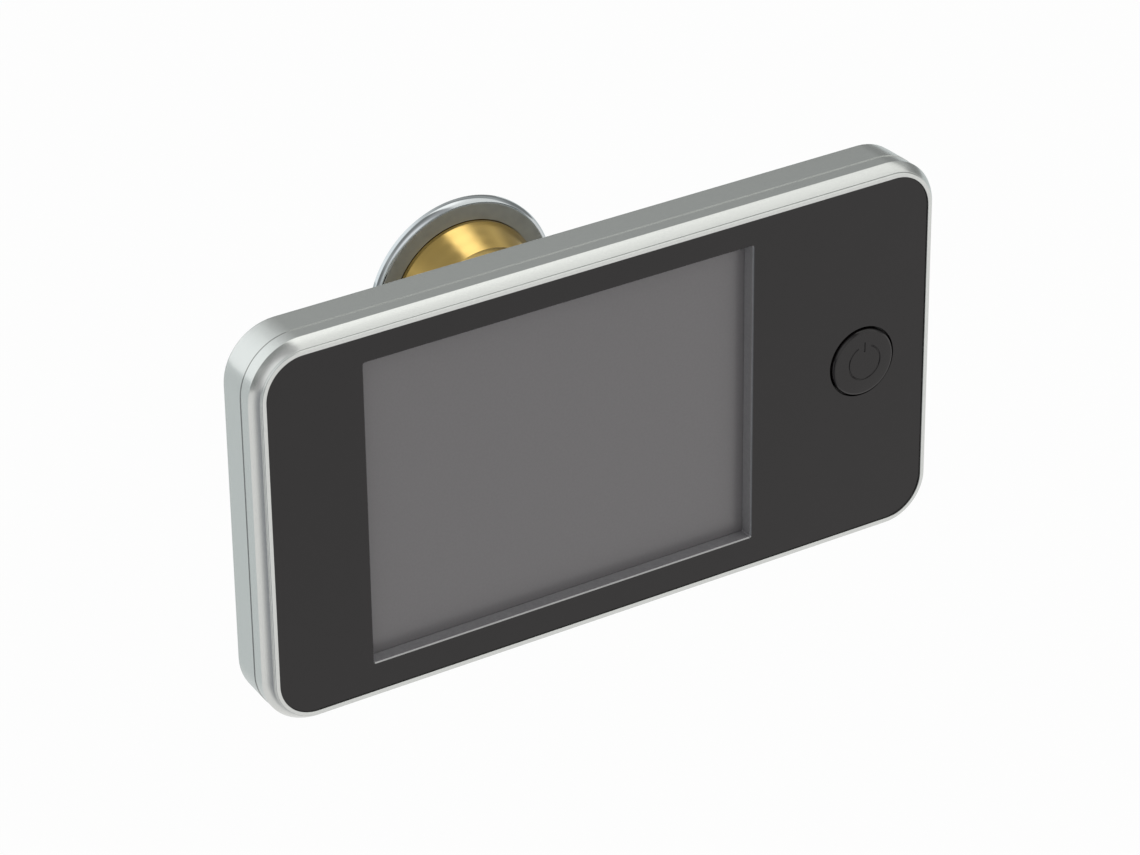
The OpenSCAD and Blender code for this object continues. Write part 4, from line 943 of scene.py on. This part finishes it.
def cell(flip):
    """One can: rounded foot, crimp below its shoulder and a raised tip."""
    shoulder = CELL_TOP - CELL_TIP
    crimp = shoulder - (CRIMP_LOW + CRIMP_HIGH) / 2
    profile = (
        [(0.0, CELL_FOOT)] + arc(CELL_R - CELL_EDGE, CELL_FOOT + CELL_EDGE, CELL_EDGE, -90, 0)
        + [(CELL_R, shoulder - CRIMP_LOW), (CELL_R - CRIMP_DEPTH, crimp)]
        + [(CELL_R, shoulder - CRIMP_HIGH)]
        + arc(CELL_R - CELL_EDGE, shoulder - CELL_EDGE, CELL_EDGE, 0, 90)
        + [(CELL_TIP_R, shoulder)]
        + arc(CELL_TIP_R - CELL_TIP_EDGE, CELL_TOP - CELL_TIP_EDGE, CELL_TIP_EDGE, 0, 90, steps=4)
        + [(0.0, CELL_TOP)]
    )
    if flip:
        profile = [(r, 2 * FACE_Z - z) for r, z in profile]
    return turned(profile, sides=64)


def on_cell_end(centre, normal):
    """Bare steel at both ends of a can."""
    height = centre.z if centre.x < sum(CELL_XS) / 2 else 2 * FACE_Z - centre.z
    return not CELL_FOOT + SLEEVE_ENDS < height < CELL_TOP - CELL_TIP - SLEEVE_ENDS


cells = solid("sleeved_cells", joined(*(
    upright(cell(flip), x, CELL_Y) for flip, x in zip((False, True), CELL_XS)
)))
fit(cells, sleeve, "monitor", "batteries", also=((zinc, on_cell_end),))

# Lens: domed front element and its chamfered retaining ring

LENS_R, LENS_DOME, LENS_CHAMFER = 6.5, 1.8, 0.2
LENS_BACK, LENS_TOP = (corner.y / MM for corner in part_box("front_lens"))
DOME_R = (LENS_R ** 2 + LENS_DOME ** 2) / (2 * LENS_DOME)
DOME_EDGE = math.degrees(math.acos(LENS_R / DOME_R))
lens = solid("domed_lens", turned(
    [(0.0, LENS_BACK), (LENS_R - LENS_CHAMFER, LENS_BACK), (LENS_R, LENS_BACK + LENS_CHAMFER)]
    + arc(0.0, LENS_TOP - DOME_R, DOME_R, DOME_EDGE, 90, steps=16),
))
fit(lens, crown, "camera", "front_lens")
RING_R, RING_BORE_R, RING_CHAMFER = 9.3, 6.6, 0.15
RING_BACK, RING_FRONT = (corner.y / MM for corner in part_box("lens_ring"))
ring = solid("retaining_ring", turned(
    [(RING_BORE_R, RING_BACK), (RING_R, RING_BACK), (RING_R, RING_FRONT - RING_CHAMFER)]
    + [(RING_R - RING_CHAMFER, RING_FRONT), (RING_BORE_R + 2 * RING_CHAMFER, RING_FRONT)]
    + [(RING_BORE_R, RING_FRONT - 2 * RING_CHAMFER)],
    closed=True,
))
fit(ring, black_nylon, "camera", "lens_ring")

# What repeats is grown on points by geometry nodes

def new_tree(name, sizes):
    """Empty tree of geometry nodes with named sizes, and what comes into it."""
    tree = bpy.data.node_groups.new(name, "GeometryNodeTree")
    tree.interface.new_socket("Geometry", in_out="INPUT", socket_type="NodeSocketGeometry")
    tree.interface.new_socket("Geometry", in_out="OUTPUT", socket_type="NodeSocketGeometry")
    for size in sizes:
        tree.interface.new_socket(size, in_out="INPUT", socket_type="NodeSocketFloat")
    return tree, add(tree, "GroupInput", family="Node").outputs


def finish_tree(tree, points, instance, turn, material):
    """Places the instance on every point, makes it real and dresses it."""
    placed = add(tree, "InstanceOnPoints", {
        "Points": points, "Instance": instance, **({"Rotation": turn} if turn else {}),
    }, family="GeometryNode")
    real = add(tree, "RealizeInstances", {
        "Geometry": placed.outputs["Instances"],
    }, family="GeometryNode")
    dressed = add(tree, "SetMaterial", {
        "Geometry": real.outputs["Geometry"], "Material": material,
    }, family="GeometryNode")
    add(tree, "GroupOutput", {"Geometry": dressed.outputs["Geometry"]}, family="Node")


def grown(name, places, tree, sizes, turns=()):
    """Object made by a tree of geometry nodes on some points, each with its turn where given."""
    piece = solid(name, (places, []))
    if turns:
        piece.data.attributes.new("turn", "FLOAT_VECTOR", "POINT").data.foreach_set(
            "vector", [angle for turn in turns for angle in turn])
    growth = piece.modifiers.new("growth", "NODES")
    growth.node_group = tree
    for item in tree.interface.items_tree:
        if item.in_out == "INPUT" and item.name in sizes:
            growth[item.identifier] = sizes[item.name]
    bake(piece)
    return piece


SPRING_WIRE, SPRING_R, SPRING_TIP_R, SPRING_TURNS = 0.5, 3.3, 2.2, 2.5
SPRING_FOOT, SPRING_CLIMB = -30.1, 2.3
SPRING_STEPS, WIRE_SIDES = 40, 14
spring_sizes = {
    "Wire radius": SPRING_WIRE / 2 * MM,
    "Foot radius": (SPRING_R - SPRING_WIRE / 2) * MM,
    "Tip radius": (SPRING_TIP_R - SPRING_WIRE / 2) * MM,
    "Height": SPRING_CLIMB * MM,
    "Turns": SPRING_TURNS,
}


def spring_tree():
    """Conical spring: a round wire along a spiral that narrows upward."""
    tree, sizes = new_tree("conical_spring", spring_sizes)
    spiral = add(tree, "CurveSpiral", {
        "Resolution": SPRING_STEPS, "Rotations": sizes["Turns"], "Height": sizes["Height"],
        "Start Radius": sizes["Foot radius"], "End Radius": sizes["Tip radius"],
    }, family="GeometryNode")
    wire = add(tree, "CurvePrimitiveCircle", {
        "Resolution": WIRE_SIDES, "Radius": sizes["Wire radius"],
    }, family="GeometryNode")
    coil = add(tree, "CurveToMesh", {
        "Curve": spiral.outputs["Curve"], "Profile Curve": wire.outputs["Curve"], "Fill Caps": True,
    }, family="GeometryNode")
    turn = add(tree, "InputNamedAttribute", {
        "Name": "turn",
    }, family="GeometryNode", data_type="FLOAT_VECTOR")
    rotation = add(tree, "EulerToRotation", {
        "Euler": turn.outputs["Attribute"],
    }, family="FunctionNode")
    finish_tree(tree, sizes["Geometry"], coil.outputs["Mesh"], rotation.outputs["Rotation"], zinc)
    return tree


spring_places = [
    Vector((CELL_XS[0], CELL_Y, SPRING_FOOT)),
    Vector((CELL_XS[1], CELL_Y, 2 * FACE_Z - SPRING_FOOT)),
]
spring_turns = (0, 0, 0), (0, math.pi, 0)
springs = grown("coiled_contacts", spring_places, spring_tree(), spring_sizes, spring_turns)
fit(springs, zinc, "monitor", "contact_springs", sharp=60)


def screw_tree(screw):
    """The same screw on every point."""
    tree, sizes = new_tree("case_screws", ())
    shape = add(tree, "ObjectInfo", {"Object": screw}, family="GeometryNode")
    finish_tree(tree, sizes["Geometry"], shape.outputs["Geometry"], None, zinc)
    return tree


SCREW_R, SCREW_HEAD_R, SCREW_LEN, SCREW_EDGE = 1.0, 1.7, 5.0, 0.1
# Tip below the thread: its height, and how much narrower its end is
SCREW_TIP, SCREW_TIP_IN = 0.6, 0.3
SCREW_PITCH, SCREW_CREST, SCREW_ROWS = 0.8, 0.12, 8
RECESS_W, RECESS_LEN, RECESS_DEPTH, RECESS_OVERRUN = 0.4, 1.8, 0.45, 0.5
SCREW_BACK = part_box("case_screws")[1].y / MM
threads = [
    (SCREW_R - SCREW_CREST * (i % 2), SCREW_TIP - SCREW_LEN + i * SCREW_PITCH / 2)
    for i in range(SCREW_ROWS)
]
screw = solid("screw", turned(
    [(0.0, -SCREW_LEN), (SCREW_R - SCREW_TIP_IN, -SCREW_LEN)] + threads
    + [(SCREW_R, SCREW_R - SCREW_HEAD_R), (SCREW_HEAD_R, -SCREW_EDGE)]
    + [(SCREW_HEAD_R - SCREW_EDGE, 0.0), (0.0, 0.0)],
    sides=48,
))
cut_cross(screw, RECESS_LEN, RECESS_W, -RECESS_DEPTH, RECESS_OVERRUN)
screw_spots = [Vector((x, SCREW_BACK, z)) for x, z in SCREW_PLACES]
screws = grown("cross_screws", screw_spots, screw_tree(screw), {})
bpy.data.objects.remove(screw)
fit(screws, zinc, "monitor", "case_screws", sharp=25)

# Solids that keep their own shape get the finish of the real material

FINISHES = {
    "screen_glass": lcd, "backlight": nylon, "camera_socket": nylon, "camera_plug": nylon,
    "screen_flex": polyimide, "key_ribbon": polyimide, "main_board": solder_mask,
    "key_board": solder_mask, "sensor_board": solder_mask, "board_chips": epoxy,
    "push_switch": epoxy, "image_sensor": epoxy, "switch_plunger": black_nylon,
    "bridge_contact": zinc, "end_contacts": zinc, "lens_housing": black_nylon, "rear_lens": crown,
}
for name, finish in FINISHES.items():
    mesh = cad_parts[name].data
    mesh.materials.clear()
    mesh.materials.append(finish)
